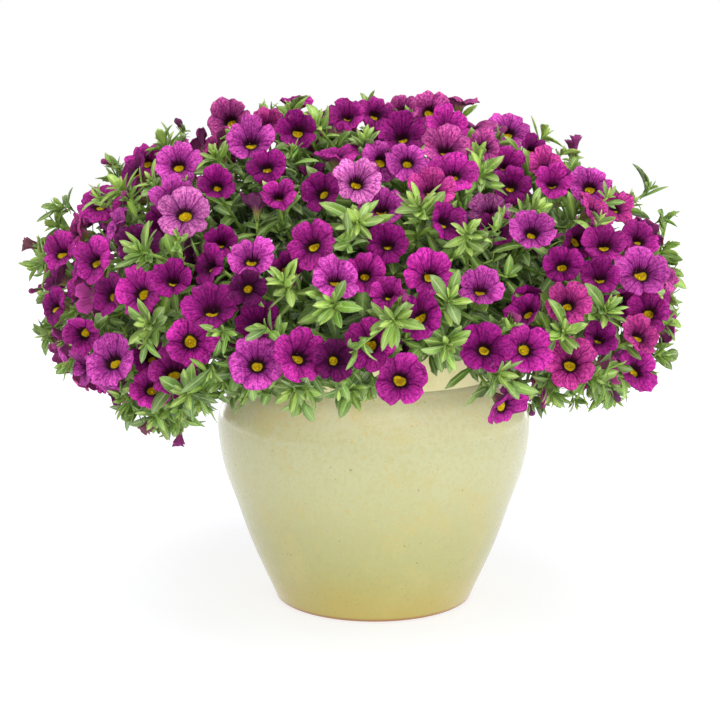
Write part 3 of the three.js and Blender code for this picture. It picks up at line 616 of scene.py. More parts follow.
def draw_bloom(index):
    draw = lottery(index)
    azimuth = TURN * draw()
    latitude = math.asin(1 - BLOOM_SINE_SPAN * draw())
    radius = BLOOM_RADIUS_MIN + BLOOM_RADIUS_SPAN * draw()
    turned = azimuth + FACE_TURN * RAD * (2 * draw() - 1)
    lifted = mound_slope(latitude) * FACE_LIFT + FACE_TILT * RAD * (2 * draw() - 1)
    centre = mound_point(azimuth, latitude, BLOOM_SCATTER * draw())
    spin = TURN * draw()
    bloom = {"centre": centre, "radius": radius, "spin": spin, "facing": direction(turned, lifted)}
    return azimuth, latitude, {**bloom, "tone": "?"}


def in_bare_place(point, places=BARE_PLACES):
    x, y, z = point
    return y < 0 and any(left < x < right and z < top for left, right, top in places)


def place_blooms(thicket, stems):
    blooms = []
    place_front_blooms(thicket, stems, blooms)
    for index in range(BLOOM_DRAWS):
        if len(blooms) == BLOOM_TARGET:
            break
        azimuth, latitude, bloom = draw_bloom(index)
        if latitude > skirt_latitude(azimuth) and not in_bare_place(bloom["centre"]):
            place_bloom(thicket, stems, blooms, bloom)
    return blooms


def draw_shoot(index):
    draw = lottery(SHOOT_SEED + index)
    azimuth = TURN * draw()
    latitude = math.asin(1 - SHOOT_SINE_SPAN * draw())
    tip = mound_point(azimuth, latitude, SHOOT_DEPTH - SHOOT_DEPTH_SPAN * draw())
    sway = SHOOT_SWAY * (2 * draw() - 1)
    nod = SHOOT_NOD + SHOOT_NOD_SPAN * (2 * draw() - 1)
    first = TURN * draw()
    leaves = []
    for k in range(SHOOT_LEAVES):
        turn = first + TURN * (k + LEAF_TURN_SPREAD * (draw() - 0.5)) / SHOOT_LEAVES
        splay, span = (LEAF_SPLAY_MIN, LEAF_SPLAY_SPAN), (LEAF_LENGTH_MIN, LEAF_LENGTH_SPAN)
        leaves.append(drawn_leaf(draw, turn, splay, span))
    axis = direction(azimuth + sway, SHOOT_LIFT * mound_slope(latitude) + nod)
    return {
        "azimuth": azimuth, "latitude": latitude, "tip": tip, "axis": axis, "sway": sway, "nod": nod,
        "leaves": leaves,
    }


def drawn_leaf(draw, turn, splay, span):
    """A leaf of a rosette. Its splay in degrees and its length are each drawn from a least and a span."""
    return {"turn": turn, "splay": (splay[0] + splay[1] * draw()) * RAD, "length": span[0] + span[1] * draw()}


def place_shoot(thicket, stems, shoots, shoot):
    crowded = any(distance(other["tip"], shoot["tip"]) < SHOOT_SPACING for other in shoots)
    blades = leaf_samples(shoot)
    if crowded or thicket.blocks(blades):
        return False
    base = along(shoot["tip"], shoot["axis"], -CROWN_HEIGHT)
    route = find_route(thicket, stems, "leafy", base, shoot["axis"])
    if not route:
        return False
    thicket.add(blades, ("leaf", route["stem"]))
    thicket.add(route["samples"], ("branch", route["stem"]))
    shoots.append({**shoot, **route})
    return True


def place_front_shoots(thicket, stems, shoots):
    for index, (x, z) in enumerate(FRONT_SHOOTS):
        for attempt in range(SHOOT_ATTEMPTS):
            shoot = draw_shoot(FRONT_SHOOT_SEED + SHOOT_ATTEMPTS * index + attempt)
            tip = front_point(x, z, FRONT_SHOOT_SINK - attempt)
            azimuth = math.atan2(tip[1] - MOUND_CENTRE[1], tip[0] - MOUND_CENTRE[0])
            slope = math.atan2(tip[2] - MOUND_CENTRE[2], MOUND_RADIUS)
            droop = SHOOT_DROOP if z < MOUND_CENTRE[2] else 1
            axis = direction(azimuth + shoot["sway"], droop * slope + shoot["nod"])
            if place_shoot(thicket, stems, shoots, {**shoot, "tip": tip, "axis": axis}):
                break


def place_shoots(thicket, stems):
    shoots = []
    place_front_shoots(thicket, stems, shoots)
    for index in range(SHOOT_DRAWS):
        if len(shoots) == SHOOT_TARGET:
            break
        shoot = draw_shoot(index)
        hangs = shoot["latitude"] > skirt_latitude(shoot["azimuth"]) - SHOOT_HANG
        if hangs and not in_bare_place(shoot["tip"]):
            place_shoot(thicket, stems, shoots, shoot)
    return shoots


def front_sprig(index):
    """A listed sprig, tried at places ever deeper in the mound."""
    draw = lottery(FRONT_SPRIG_SEED + index)
    x, z, turn, lift, bud = FRONT_SPRIGS[index // FRONT_SPRIG_ATTEMPTS]
    tip = front_point(x, z, FRONT_SPRIG_SINK_STEP * (index % FRONT_SPRIG_ATTEMPTS) - FRONT_SPRIG_PROUD)
    axis = direction((turn - 90) * RAD, lift * RAD)
    leaves = FRONT_BUD_LEAVES
    if not bud:
        turns = [GOLDEN_TURN * k + ABOUT_A_TURN * draw() for k in range(FRONT_SPRIG_LEAVES)]
        leaves = [drawn_leaf(draw, turn, FRONT_SPRIG_SPLAY, FRONT_SPRIG_LENGTH) for turn in turns]
    return {"azimuth": 0, "latitude": 1, "tip": tip, "axis": axis, "leaves": leaves, "bud": bud}


def draw_sprig(index):
    if index < FRONT_SPRIG_ATTEMPTS * len(FRONT_SPRIGS):
        return front_sprig(index)
    draw = lottery(SPRIG_SEED + index)
    azimuth = TURN * draw()
    latitude = math.asin(1 - SHOOT_SINE_SPAN * draw())
    least = -SPRIG_PROUD if math.sin(azimuth) < SPRIG_FRONT else SPRIG_SUNK
    depth = SPRIG_DEPTH_SPAN * draw() ** 1.6 + least
    turned = azimuth + SPRIG_TURN * (draw() - 0.5)
    lifted = mound_slope(latitude) + SPRIG_LIFT * (draw() - 0.4)
    bud = "closed" if draw() < BUD_SHARE and depth < BUD_DEPTH else None
    first = TURN * draw()
    count = OUTER_SPRIG_LEAVES if depth < OUTER_SPRIG_DEPTH else SPRIG_LEAVES
    span = (SPRIG_LEAF_MIN + depth / 12, SPRIG_LEAF_SPAN)
    if bud:
        count, span = BUD_LEAVES, (BUD_LEAF_MIN, SPRIG_LEAF_SPAN)
    leaves = [drawn_leaf(draw, first + GOLDEN_TURN * k, SPRIG_SPLAY, span) for k in range(count)]
    return {
        "azimuth": azimuth, "latitude": latitude, "tip": mound_point(azimuth, latitude, depth),
        "axis": direction(turned, lifted), "leaves": leaves, "bud": bud,
    }


def sprig_route(thicket, roots, owners, sprig):
    """A straight twig to the sprig from one of the nearest points on the branches."""
    apart = np.linalg.norm(roots - np.array(sprig["tip"]), axis=1)
    for near in np.argsort(apart)[:SPRIG_ROOTS]:
        root, stem = tuple(roots[near]), owners[near]
        way = unit(minus(sprig["tip"], root))
        if not SPRIG_REACH[0] < apart[near] < SPRIG_REACH[1] or dot(way, sprig["axis"]) < TWIG_STRAIGHTNESS:
            continue
        samples = line_samples([along(root, way, TWIG_START), sprig["tip"]], SPRIG_ROOM)
        if not thicket.blocks(samples, ("branch", stem), TWIG_GAP):
            return {"stem": stem, "path": [root, sprig["tip"]], "samples": samples}
    return None


def draw_late_bloom(index):
    """A small bloom that opened under the others."""
    draw = lottery(LATE_SEED + index)
    return drawn_bloom(draw, TURN * draw(), LATE_DEPTH, LATE_RADIUS, "late")


def draw_side_bloom(index):
    """A bloom that fills a gap at the sides or the back."""
    draw = lottery(SIDE_SEED + index)
    azimuth = (90 + SIDE_SECTOR * (2 * draw() - 1)) * RAD
    return drawn_bloom(draw, azimuth, SIDE_DEPTH, SIDE_RADIUS, "side")


def drawn_bloom(draw, azimuth, depths, radii, tone):
    latitude = math.asin(1 - BLOOM_SINE_SPAN * draw())
    centre = mound_point(azimuth, latitude, depths[0] + (depths[1] - depths[0]) * draw())
    turned = azimuth + LATE_TURN * (2 * draw() - 1)
    lifted = mound_slope(latitude) * FACE_LIFT + LATE_LIFT * (2 * draw() - 1)
    facing = direction(turned, lifted)
    radius = radii[0] + (radii[1] - radii[0]) * draw()
    return {
        "azimuth": azimuth, "latitude": latitude, "centre": centre, "facing": facing, "axis": facing,
        "radius": radius, "tip": along(centre, facing, -NECK_DEPTH), "spin": ABOUT_A_TURN * draw(),
        "tone": tone,
    }


def place_growth(thicket, pieces, draw_piece, draws, target, samples_of, spacing):
    """Small growth on the branches, in the room left among the blooms."""
    placed = []
    knots = [(sample[0], piece["stem"]) for piece in pieces for sample in piece["samples"][1:-1]]
    roots = np.array([centre for centre, _ in knots])
    owners = [stem for _, stem in knots]
    for index in range(draws):
        if len(placed) == target:
            break
        piece = draw_piece(index)
        hangs = piece["latitude"] > skirt_latitude(piece["azimuth"]) - SHOOT_HANG
        if not hangs or in_bare_place(piece["tip"], SPRIG_BARE_PLACES):
            continue
        samples = samples_of(piece, SPRIG_ROOM)
        crowded = any(distance(other["tip"], piece["tip"]) < spacing for other in placed)
        if crowded or thicket.blocks(samples, gap=TWIG_GAP):
            continue
        route = sprig_route(thicket, roots, owners, piece)
        if route:
            kind = "bloom" if "radius" in piece else "leaf"
            thicket.add(samples, (kind, route["stem"]))
            thicket.add(route["samples"], ("branch", route["stem"]))
            placed.append({**piece, **route})
    return placed


# ---- Mesh building ---------------------------------------------------------------------------------


def ring_angles(count):
    return TURN * np.arange(count) / count


def ring_ways(angles, across, upward):
    """Unit directions at the angles round an axis, one to a row."""
    return np.outer(np.cos(angles), across) + np.outer(np.sin(angles), upward)


class Mesher:
    """Gathers closed tubes of rings into one mesh, with a place and a tint at each point."""

    def __init__(self):
        self.points = []
        self.places = []
        self.tints = []
        self.quads = []
        self.caps = []
        self.count = 0

    def rings(self, points, places, tint):
        """points and places are arrays of rows of rings. The first and last rings are capped."""
        rows, columns = points.shape[:2]
        self.points.append(points.reshape(-1, 3))
        self.places.append(places.reshape(-1, 3))
        tint = np.broadcast_to(np.asarray(tint, float), (rows, columns, 3))
        self.tints.append(tint.reshape(-1, 3))
        grid = self.count + np.arange(rows * columns).reshape(rows, columns)
        after = np.roll(grid, -1, axis=1)
        self.quads.append(np.stack([grid[:-1], after[:-1], after[1:], grid[1:]], axis=-1).reshape(-1, 4))
        self.caps += [grid[0][::-1], grid[-1]]
        self.count += rows * columns

    def to_mesh(self, name):
        points = np.concatenate(self.points) * MM
        quads = np.concatenate(self.quads)
        loops = np.concatenate([quads.reshape(-1), *self.caps])
        sizes = np.concatenate([np.full(len(quads), 4), [len(cap) for cap in self.caps]])
        starts = np.concatenate([[0], np.cumsum(sizes)[:-1]])
        mesh = bpy.data.meshes.new(name)
        mesh.vertices.add(len(points))
        mesh.vertices.foreach_set("co", points.astype(np.float32).reshape(-1))
        mesh.loops.add(len(loops))
        mesh.loops.foreach_set("vertex_index", loops.astype(np.int32))
        mesh.polygons.add(len(sizes))
        mesh.polygons.foreach_set("loop_start", starts.astype(np.int32))
        mesh.polygons.foreach_set("use_smooth", np.ones(len(sizes), bool))
        mesh.update(calc_edges=True)
        place = mesh.attributes.new("place", "FLOAT_VECTOR", "POINT")
        place.data.foreach_set("vector", np.concatenate(self.places).astype(np.float32).reshape(-1))
        colours = np.concatenate([np.concatenate(self.tints), np.ones((len(points), 1))], axis=1)
        tint = mesh.attributes.new("tint", "FLOAT_COLOR", "POINT")
        tint.data.foreach_set("color", colours.astype(np.float32).reshape(-1))
        return mesh

    def build(self, name, material, slot, node):
        """Makes the piece that stands for the CAD node."""
        mesh = self.to_mesh(name)
        mesh.materials.append(material)
        piece = bpy.data.objects.new(name, mesh)
        bpy.context.scene.collection.objects.link(piece)
        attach(piece, "root")
        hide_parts(node)
        return piece


def srgb(red, green, blue):
    """A colour as it is seen on screen, 0 to 255, as linear values."""
    shares = (value / 255 for value in (red, green, blue))
    return tuple(share / 12.92 if share <= 0.04 else ((share + 0.055) / 1.055) ** 2.4 for share in shares)


# ---- Tints -----------------------------------------------------------------------------------------

# Petals, from near-black purple to rosy pink.
TONES = {
    "K": srgb(102, 12, 82),
    "D": srgb(149, 19, 119),
    "M": srgb(188, 36, 149),
    "L": srgb(209, 64, 177),
    "P": srgb(196, 50, 142),
    "R": srgb(206, 70, 160),
    "A": srgb(212, 92, 180),
}
RANDOM_TONES = "DDDMMMMLLP"
# Blooms that opened under the others draw from darker tones: painted shade, as they stand deep in the mound.
SHADED_LATE_TONES = "KDDM"
TONE_SPREAD = 0.14
LOBE_SHADE = (0.72, 0.52)

# Greens, and the brown of a withered flower.
TWIG_TINT = srgb(156, 180, 90)
CALYX_TINT = srgb(126, 162, 60)
YOUNG_TINT = srgb(190, 219, 102)
LEAF_TINT = srgb(157, 197, 72)
MID_TINT = srgb(115, 158, 51)
# The darkest green is painted shade for leaves deep in the mound; shoots also darken towards it at the bottom
# of the mound.
DEEP_SHADE_TINT = srgb(52, 84, 23)
GREY_TINT = srgb(122, 152, 104)
DRY_TINT = srgb(150, 96, 84)
LEAF_GREYNESS = 0.55
LEAF_SPREAD = 0.36
# Shoots are darker from this height down, over this span.
LOW_HEIGHT = 235
LOW_SPAN = 70
# Share of the way out to the mound's surface where growth stops being deep in it, and the span of the rest.
DEEP_SHARE = 0.55
OUTER_SPAN = 0.42


def vary(tint, draw, spread=0.12):
    scale = 1 + spread * (2 * draw() - 1)
    return tuple(value * scale for value in tint)


def blend(a, b, share):
    return tuple(x + (y - x) * share for x, y in zip(a, b))


def outwardness(point):
    """0 in the depth of the mound, 1 at its surface."""
    x, y, z = minus(point, MOUND_CENTRE)
    height = MOUND_RISE if z > 0 else MOUND_DROP
    share = math.sqrt((x * x + y * y) / MOUND_RADIUS**2 + z * z / height**2)
    return min(1, max(0, (share - DEEP_SHARE) / OUTER_SPAN))


# Darker deeper in the mound: painted shade for the leaves inside it.
def shaded_leaf_tint(point):
    return blend(DEEP_SHADE_TINT, LEAF_TINT, outwardness(point) ** 1.3)


def leaf_shade(tint, draw):
    """Lighter or darker, and at times greyer."""
    return vary(blend(tint, GREY_TINT, LEAF_GREYNESS * draw() ** 2), draw, LEAF_SPREAD)


def shoot_tint(tip, draw):
    """Fresh and darker greens, darker towards the bottom of the mound, where they blend towards the deep
    painted-shade green.
    """
    low = min(1, max(0, (LOW_HEIGHT - tip[2]) / LOW_SPAN))
    tint = blend(MID_TINT, YOUNG_TINT, (0.08 + 0.7 * draw()) * (1 - 0.7 * low))
    return blend(tint, DEEP_SHADE_TINT, 0.5 * low * draw())


# ---- Stalks ----------------------------------------------------------------------------------------

# The place attribute is across and along a leaf or petal, then its side: 0 for the face, 1 for the
# back and 2 for a stalk.
STALK_PLACE = (0.0, 0.5, 2.0)


def tube(mesher, path, radii, sides, tint):
    """A round stalk along the path, with its frame carried from ring to ring."""
    path = np.array(path, float)
    ways = np.gradient(path, axis=0)
    ways /= np.linalg.norm(ways, axis=1)[:, None]
    across = np.array(frame_of(tuple(ways[0]), 0)[0])
    angles = ring_angles(sides)
    rings = []
    for point, way, radius in zip(path, ways, radii):
        across = across - way * across.dot(way)
        across /= np.linalg.norm(across)
        rings.append(point + radius * ring_ways(angles, across, np.cross(way, across)))
    places = np.broadcast_to(np.array(STALK_PLACE), (len(path), sides, 3))
    mesher.rings(np.array(rings), places, tint)


# ---- Leaves ----------------------------------------------------------------------------------------

# Forms of leaves: share of the length and width of each row, then place across and thickness of its points.
LEAF_FINE = (
    np.array([0, 0.14, 0.34, 0.54, 0.74, 0.9, 1.0]),
    np.array([0.18, 0.3, 0.76, 1.0, 0.9, 0.52, 0.06]),
    np.array([-1.0, -0.5, 0.0, 0.5, 1.0, 0.0]),
    np.array([0, 0.5, 0.5, 0.5, 0, -0.5]),
)
LEAF_PLAIN = (
    np.array([0, 0.28, 0.56, 0.82, 1.0]),
    np.array([0.18, 0.64, 1.0, 0.74, 0.06]),
    np.array([-1.0, 0.0, 1.0, 0.0]),
    np.array([0, 0.5, 0, -0.5]),
)
LEAF_DEEP = (
    np.array([0, 0.4, 0.78, 1.0]),
    np.array([0.24, 0.9, 0.9, 0.08]),
    np.array([-1.0, 0.0, 1.0, 0.0]),
    np.array([0, 0.5, 0, -0.5]),
)
FINE_OUTWARDNESS = 0.93
PLAIN_OUTWARDNESS = 0.6
LEAF_THICKNESS = 0.32
# Random values, each as its least and its span: a leaf's bend, sideways sweep and fold, and its half
# width to its length.
LEAF_BEND = (-0.15, 0.75)
LEAF_SWEEP = (-0.2, 0.4)
LEAF_FOLD = (0.1, 0.6)
LEAF_SLIMNESS = (0.12, 0.1)
LEAF_ROLL = 1.3
# Shares of a blade's length where its midrib is tested, and the room that it needs there.
MIDRIB_TESTS = (0.35, 0.55, 0.75, 0.9, 1.0)
MIDRIB_ROOM = 0.7
# Leaves along a branch: splay in degrees, length and spacing to the branch's own.
ALONG_SPLAY = (32, 46)
ALONG_LENGTH = (0.65, 0.6)
ALONG_SPACING = (0.75, 0.5)
BARE_TIP = 3
SMALLER_LEAF = 0.7


class Blade(NamedTuple):
    """Where one leaf lies: its root, way, upper side and length, and its bend, sweep and fold."""

    root: tuple
    way: tuple
    top: tuple
    size: float
    curve: tuple


def pick(span, draw):
    """A random value from its least and its span."""
    return span[0] + span[1] * draw()


def draw_curve(draw):
    return pick(LEAF_BEND, draw), pick(LEAF_SWEEP, draw), pick(LEAF_FOLD, draw)


def straightened(curve):
    return 0.0, 0.0, curve[2]


def rolled(top, way, draw):
    """top turned a little about way, so that neighbouring blades catch the light differently."""
    return along(top, unit(cross(top, way)), LEAF_ROLL * (draw() - 0.5))


def form_at(point):
    share = outwardness(point)
    if share > FINE_OUTWARDNESS:
        return LEAF_FINE
    return LEAF_PLAIN if share > PLAIN_OUTWARDNESS else LEAF_DEEP


def leaf(mesher, blade, half, tint, form):
    """A leaf whose widest half measures half."""
    share, width, across, thick = form
    bend, sweep, fold = blade.curve
    way = np.array(unit(blade.way))
    top = np.array(blade.top, float)
    top = top - way * top.dot(way)
    top /= np.linalg.norm(top) or 1
    side = np.cross(way, top)
    bends = bend * blade.size * share**2
    sweeps = sweep * blade.size * share**2
    spine = np.array(blade.root) + np.outer(share * blade.size, way)
    spine = spine - np.outer(bends, top) + np.outer(sweeps, side)
    slopes = np.gradient(spine, axis=0)
    slopes /= np.linalg.norm(slopes, axis=1)[:, None]
    lifts = np.cross(side, slopes)
    widths = width * half
    raised = fold * widths[:, None] * np.abs(across)[None, :] ** 1.4 + thick[None, :] * LEAF_THICKNESS
    shifted = (widths[:, None] * across[None, :])[:, :, None] * side[None, None, :]
    points = spine[:, None, :] + shifted + raised[:, :, None] * lifts[:, None, :]
    places = np.zeros(points.shape)
    places[:, :, 0] = across[None, :]
    places[:, :, 1] = share[:, None]
    places[:, -1, 2] = 1
    mesher.rings(points, places, tint)


def clear_blade(thicket, blades):
    """The first of the blades whose midrib keeps off the blooms and the pot, or None."""
    return next((blade for blade in blades if blade_is_clear(thicket, blade)), None)


def blade_is_clear(thicket, blade):
    root, way, top, size, (bend, sweep, _) = blade
    lift = unit(along(top, way, -dot(top, way)))
    side = cross(way, lift)
    for share in MIDRIB_TESTS:
        point = along(along(root, way, share * size), lift, -bend * size * share**2)
        if thicket.in_bloom(along(point, side, sweep * size * share**2), MIDRIB_ROOM):
            return False
    return True


def add_leaf(mesher, thicket, root, way, turn, splay, span, draw, tint=None):
    """One leaf beside a branch, smaller where there is little room, and none where there is no room."""
    across, _ = frame_of(way, turn)
    out = along(along((0, 0, 0), way, math.cos(splay)), across, math.sin(splay))
    slimness, curve = pick(LEAF_SLIMNESS, draw), draw_curve(draw)
    top = rolled(way, out, draw)
    shade = leaf_shade(tint or shaded_leaf_tint(root), draw)
    sizes, curves = (span, SMALLER_LEAF * span), (curve, straightened(curve))
    blade = clear_blade(thicket, [Blade(root, out, top, size, bent) for size in sizes for bent in curves])
    if blade:
        leaf(mesher, blade, slimness * blade.size, shade, form_at(root))


def leaves_along(mesher, thicket, points, draw, spacing, size):
    """Alternate leaves along a branch, left out where they would cut a bloom."""
    points = np.array(points)
    steps = np.linalg.norm(np.diff(points, axis=0), axis=1)
    reach = np.concatenate([[0], np.cumsum(steps)])
    turn = TURN * draw()
    at = spacing * (0.5 + draw())
    while at < reach[-1] - BARE_TIP:
        k = min(max(1, int(np.searchsorted(reach, at))), len(points) - 1)
        way = unit(tuple(points[k] - points[k - 1]))
        root = tuple(points[k - 1] + (points[k] - points[k - 1]) * (at - reach[k - 1]) / (steps[k - 1] or 1))
        splay = pick(ALONG_SPLAY, draw) * RAD
        add_leaf(mesher, thicket, root, way, turn, splay, size * pick(ALONG_LENGTH, draw), draw)
        turn += GOLDEN_TURN
        at += spacing * pick(ALONG_SPACING, draw)


# A rosette's leaves: half width and length to the CAD blade's length, how far each next leaf stands
# below the last, and how much darker it can be.
ROSETTE_SLIMNESS = (0.12, 0.1)
ROSETTE_LENGTH = (0.68, 0.45)
ROSETTE_TOP = 1.2
ROSETTE_STEP = 2.2
ROSETTE_SCATTER = 1.5
ROSETTE_AGING = 0.34
# The young leaves inside it: freshness, splay in degrees, length and drop, each at first and per leaf.
YOUNG_FRESHNESS = 0.55
YOUNG_SPLAY = (10, 6)
YOUNG_LENGTH = (6, 1.5)
YOUNG_DROP = (-0.3, -0.8)
YOUNG_SIZE = (0.75, 0.45)
YOUNG_BEND = (-0.08, 0.4)
YOUNG_FOLD = 0.35
YOUNG_SLIMNESS = (0.15, 0.06)
YOUNG_SPREAD = 0.22
# The leaves below it: drop at first and per leaf, splay in degrees and length.
LOWER_DROP = (-4, -2.5)
LOWER_SPLAY = (58, 24)
LOWER_LENGTH = (11, 5)


def nth(steps, k):
    """The value of the k-th leaf, from the first and the step to the next."""
    return steps[0] + steps[1] * k


def rosette(mesher, thicket, tip, axis, blades, draw, tint, inner, lower):
    """Leaves that share a tip: the given blades, young ones that stand up inside, and some below."""
    for place, blade in enumerate(blades):
        rosette_leaf(mesher, thicket, tip, axis, place, blade, draw, tint)
    turn = ABOUT_A_TURN * draw()
    fresh = blend(tint, YOUNG_TINT, YOUNG_FRESHNESS)
    for k in range(inner):
        way = leaf_way(axis, turn + GOLDEN_TURN * k, nth(YOUNG_SPLAY, k) * RAD)
        size = nth(YOUNG_LENGTH, k) * pick(YOUNG_SIZE, draw)
        curve = (pick(YOUNG_BEND, draw), 0, YOUNG_FOLD)
        young = Blade(along(tip, axis, nth(YOUNG_DROP, k)), way, axis, size, curve)
        if blade_is_clear(thicket, young):
            half = size * pick(YOUNG_SLIMNESS, draw)
            leaf(mesher, young, half, vary(fresh, draw, YOUNG_SPREAD), LEAF_PLAIN)
    for k in range(lower):
        root = along(tip, axis, nth(LOWER_DROP, k))
        splay, size = pick(LOWER_SPLAY, draw) * RAD, pick(LOWER_LENGTH, draw)
        add_leaf(mesher, thicket, root, axis, turn + GOLDEN_TURN * k, splay, size, draw, tint)


def rosette_leaf(mesher, thicket, tip, axis, place, blade, draw, tint):
    """One of a rosette's large leaves, straighter or nearer the tip where it would cut a bloom."""
    way = leaf_way(axis, blade["turn"], blade["splay"])
    half = blade["length"] * pick(ROSETTE_SLIMNESS, draw)
    span = blade["length"] * pick(ROSETTE_LENGTH, draw)
    top, curve = rolled(axis, way, draw), draw_curve(draw)
    shade = leaf_shade(blend(tint, MID_TINT, min(1, ROSETTE_AGING * place * draw())), draw)
    drop = ROSETTE_TOP + ROSETTE_STEP * place + ROSETTE_SCATTER * draw()
    tries = ((drop, curve), (drop, straightened(curve)), (ROSETTE_TOP, straightened(curve)))
    blades = [Blade(along(tip, axis, -down), way, top, span, bent) for down, bent in tries]
    found = clear_blade(thicket, blades)
    if found:
        leaf(mesher, found, half, shade, form_at(tip))


# ---- Blooms ----------------------------------------------------------------------------------------

LISTED_COLUMNS = 40
PETAL_COLUMNS = 30
PETAL_SWELL = 1.5
LOBES = 5
# Sections of a bloom's face and back: share of its radius and depth behind its rim.
PETAL_FACE = [
    (1.0, 0.0), (0.965, 0.02), (0.9, 0.1), (0.8, 0.28), (0.68, 0.56), (0.55, 0.95), (0.43, 1.5), (0.33, 2.3),
    (0.25, 3.5), (0.18, 5.4), (0.07, 8.2),
]
PETAL_BACK = [
    (0.06, 11.4), (0.15, 10.4), (0.2, 8.2), (0.27, 5.4), (0.4, 3.1), (0.62, 1.6), (0.85, 0.75), (0.98, 0.28),
]
# How the lobes of a bloom differ, as least and span: size, notch beside it, dent in its tip, tilt, dome,
# roll of its rim and start of its ruffle.
LOBE_SIZE = (0.92, 0.16)
LOBE_NOTCH = (0.1, 0.15)
LOBE_DENT = (0, 0.07)
LOBE_TILT = (-1.7, 3.6)
LOBE_DOME = (0.5, 2.2)
LOBE_ROLL = (1.6, -3.9)
LOBE_RUFFLE = (0, ABOUT_A_TURN)
# Ripples round the outline: how many, and how deep.
OUTLINE_RIPPLES = ((13, 0.018), (17, 0.014))
# Twists of the columns round the axis: how many, and how far.
COLUMN_TWISTS = ((1, 0.09), (2, 0.07))
SADDLE = 1.1
BLOOM_CUP = (-1.2, 3.4)
DENT_WIDTH = 0.25
CREASE_WIDTH = 0.24
CREASE_DEPTH = 1.9
CRUMPLES = 6
CRUMPLE_PITCH = (5, 7)
CRUMPLE_HEIGHT = 0.38
RUFFLE_PITCH = 7
RUFFLE_HEIGHT = 0.7
# The yellow eye and the dark throat round it are shifted down by up to this share of the radius: painted
# light on the lower wall of the throat, where light from above falls, and painted shade on its upper wall.
# The anthers drop with it.
EYE_LIGHT_SHIFT = 0.13
EYE_LIGHT_SHIFT_SHARE = (0.4, 1.2)


def bloom_form(draw, columns):
    """How a bloom's lobes differ, at each column: outline, and height by share of the radius."""
    theta = ring_angles(columns)
    turns = theta * LOBES / TURN + 0.5
    lobe = np.floor(turns).astype(int) % LOBES
    phi = turns % 1 * 2 - 1
    seam = (lobe + np.where(phi < 0, -1, 0)) % LOBES

    def per_lobe(span, where=lobe):
        return np.array([pick(span, draw) for _ in range(LOBES)])[where]

    sizes = per_lobe(LOBE_SIZE)
    notches = per_lobe(LOBE_NOTCH, seam)
    dents = per_lobe(LOBE_DENT)
    tilts = per_lobe(LOBE_TILT)
    domes = per_lobe(LOBE_DOME)
    rolls = per_lobe(LOBE_ROLL)
    ruffles = per_lobe(LOBE_RUFFLE)
    outline = sizes * (1 - notches * np.abs(phi) ** 4 - dents * np.exp(-((phi / DENT_WIDTH) ** 2)))
    outline = outline * (1 + waves_round(theta, OUTLINE_RIPPLES, draw))
    saddle = waves_round(theta, ((2, SADDLE),), draw)
    cup = pick(BLOOM_CUP, draw)
    crease = np.exp(-(((1 - np.abs(phi)) / CREASE_WIDTH) ** 2))
    shape = np.cos(0.5 * math.pi * phi)
    crumples = [
        (ABOUT_A_TURN * draw(), ABOUT_A_TURN * draw(), pick(CRUMPLE_PITCH, draw)) for _ in range(CRUMPLES)
    ]

    def height(share):
        body = math.sin(math.pi * min(1, max(0, (share - 0.25) / 0.9))) ** 0.8
        rim = max(0, (share - 0.72) / 0.28) ** 2
        lift = (tilts * (0.3 + 0.7 * shape) + saddle + cup) * share**2 + domes * (1 - phi**2) * body
        lift = lift + rolls * rim * (1 - 0.6 * phi**2) - CREASE_DEPTH * crease * body
        for turn, phase, pitch in crumples:
            crumple = np.sin(pitch * share * np.cos(theta - turn) + phase)
            crumple = crumple * np.sin(2.2 * pitch * share + phase)
            lift = lift + CRUMPLE_HEIGHT * crumple * share
        return lift + RUFFLE_HEIGHT * np.sin(RUFFLE_PITCH * phi + ruffles) * share**5

    return theta, lobe, outline, height


def waves_round(theta, waves, draw):
    """Waves round a ring, each a count and a height, that start anywhere."""
    return sum(height * np.sin(count * theta + ABOUT_A_TURN * draw()) for count, height in waves)


def petals(mesher, bloom, draw):
    """One trumpet: out along the back of the tube, round the rim and down into the throat."""
    across, upward = np.array(frame_of(bloom["facing"], bloom["spin"]))
    facing, centre = np.array(bloom["facing"]), np.array(bloom["centre"])
    radius = bloom["radius"] + PETAL_SWELL
    listed = bloom["tone"] in TONES
    theta, lobe, outline, height = bloom_form(draw, LISTED_COLUMNS if listed else PETAL_COLUMNS)
    ways = ring_ways(theta + waves_round(theta, COLUMN_TWISTS, draw), across, upward)
    # Painted light and shade in the throat: the eye is moved down, towards where light from above falls.
    eye_light_shift = EYE_LIGHT_SHIFT * pick(EYE_LIGHT_SHIFT_SHARE, draw)
    eye_x, eye_y = -across[2] * eye_light_shift, -upward[2] * eye_light_shift
    rows, places = [], []
    for side, section in ((1, PETAL_BACK), (0, PETAL_FACE)):
        for share, depth in section:
            reach = radius * share * (1 + (outline - 1) * share**1.5)
            rows.append(centre + reach[:, None] * ways + (height(share) - depth)[:, None] * facing)
            shift = max(0, 1 - share * 1.8) ** 0.5
            x, y = share * np.cos(theta) - eye_x * shift, share * np.sin(theta) - eye_y * shift
            places.append(np.stack([x, y, np.full(len(theta), side)], -1))
    tones = SHADED_LATE_TONES if bloom["tone"] == "late" else RANDOM_TONES
    tone = bloom["tone"] if listed else tones[int(draw() * len(tones))]
    tint = np.array(vary(TONES[tone], draw, TONE_SPREAD))
    shades = np.array([pick(LOBE_SHADE, draw) for _ in range(LOBES)])[lobe]
    mesher.rings(np.array(rows), np.array(places), (shades[:, None] * tint)[None, :, :])
    anthers(mesher, bloom, ANTHER_DROP * eye_light_shift * radius, draw)


ANTHER_DROP = 0.85
ANTHER_DEPTH = 8.0
ANTHER_LENGTH = 2.4
ANTHER_COLUMNS = 10
ANTHER_SECTION = [(0, 0.3), (0.35, 0.5), (0.7, 0.7), (0.92, 0.55), (1.0, 0.15)]
# Its place in the petals' material is in the yellow eye.
ANTHER_PLACE = 0.12


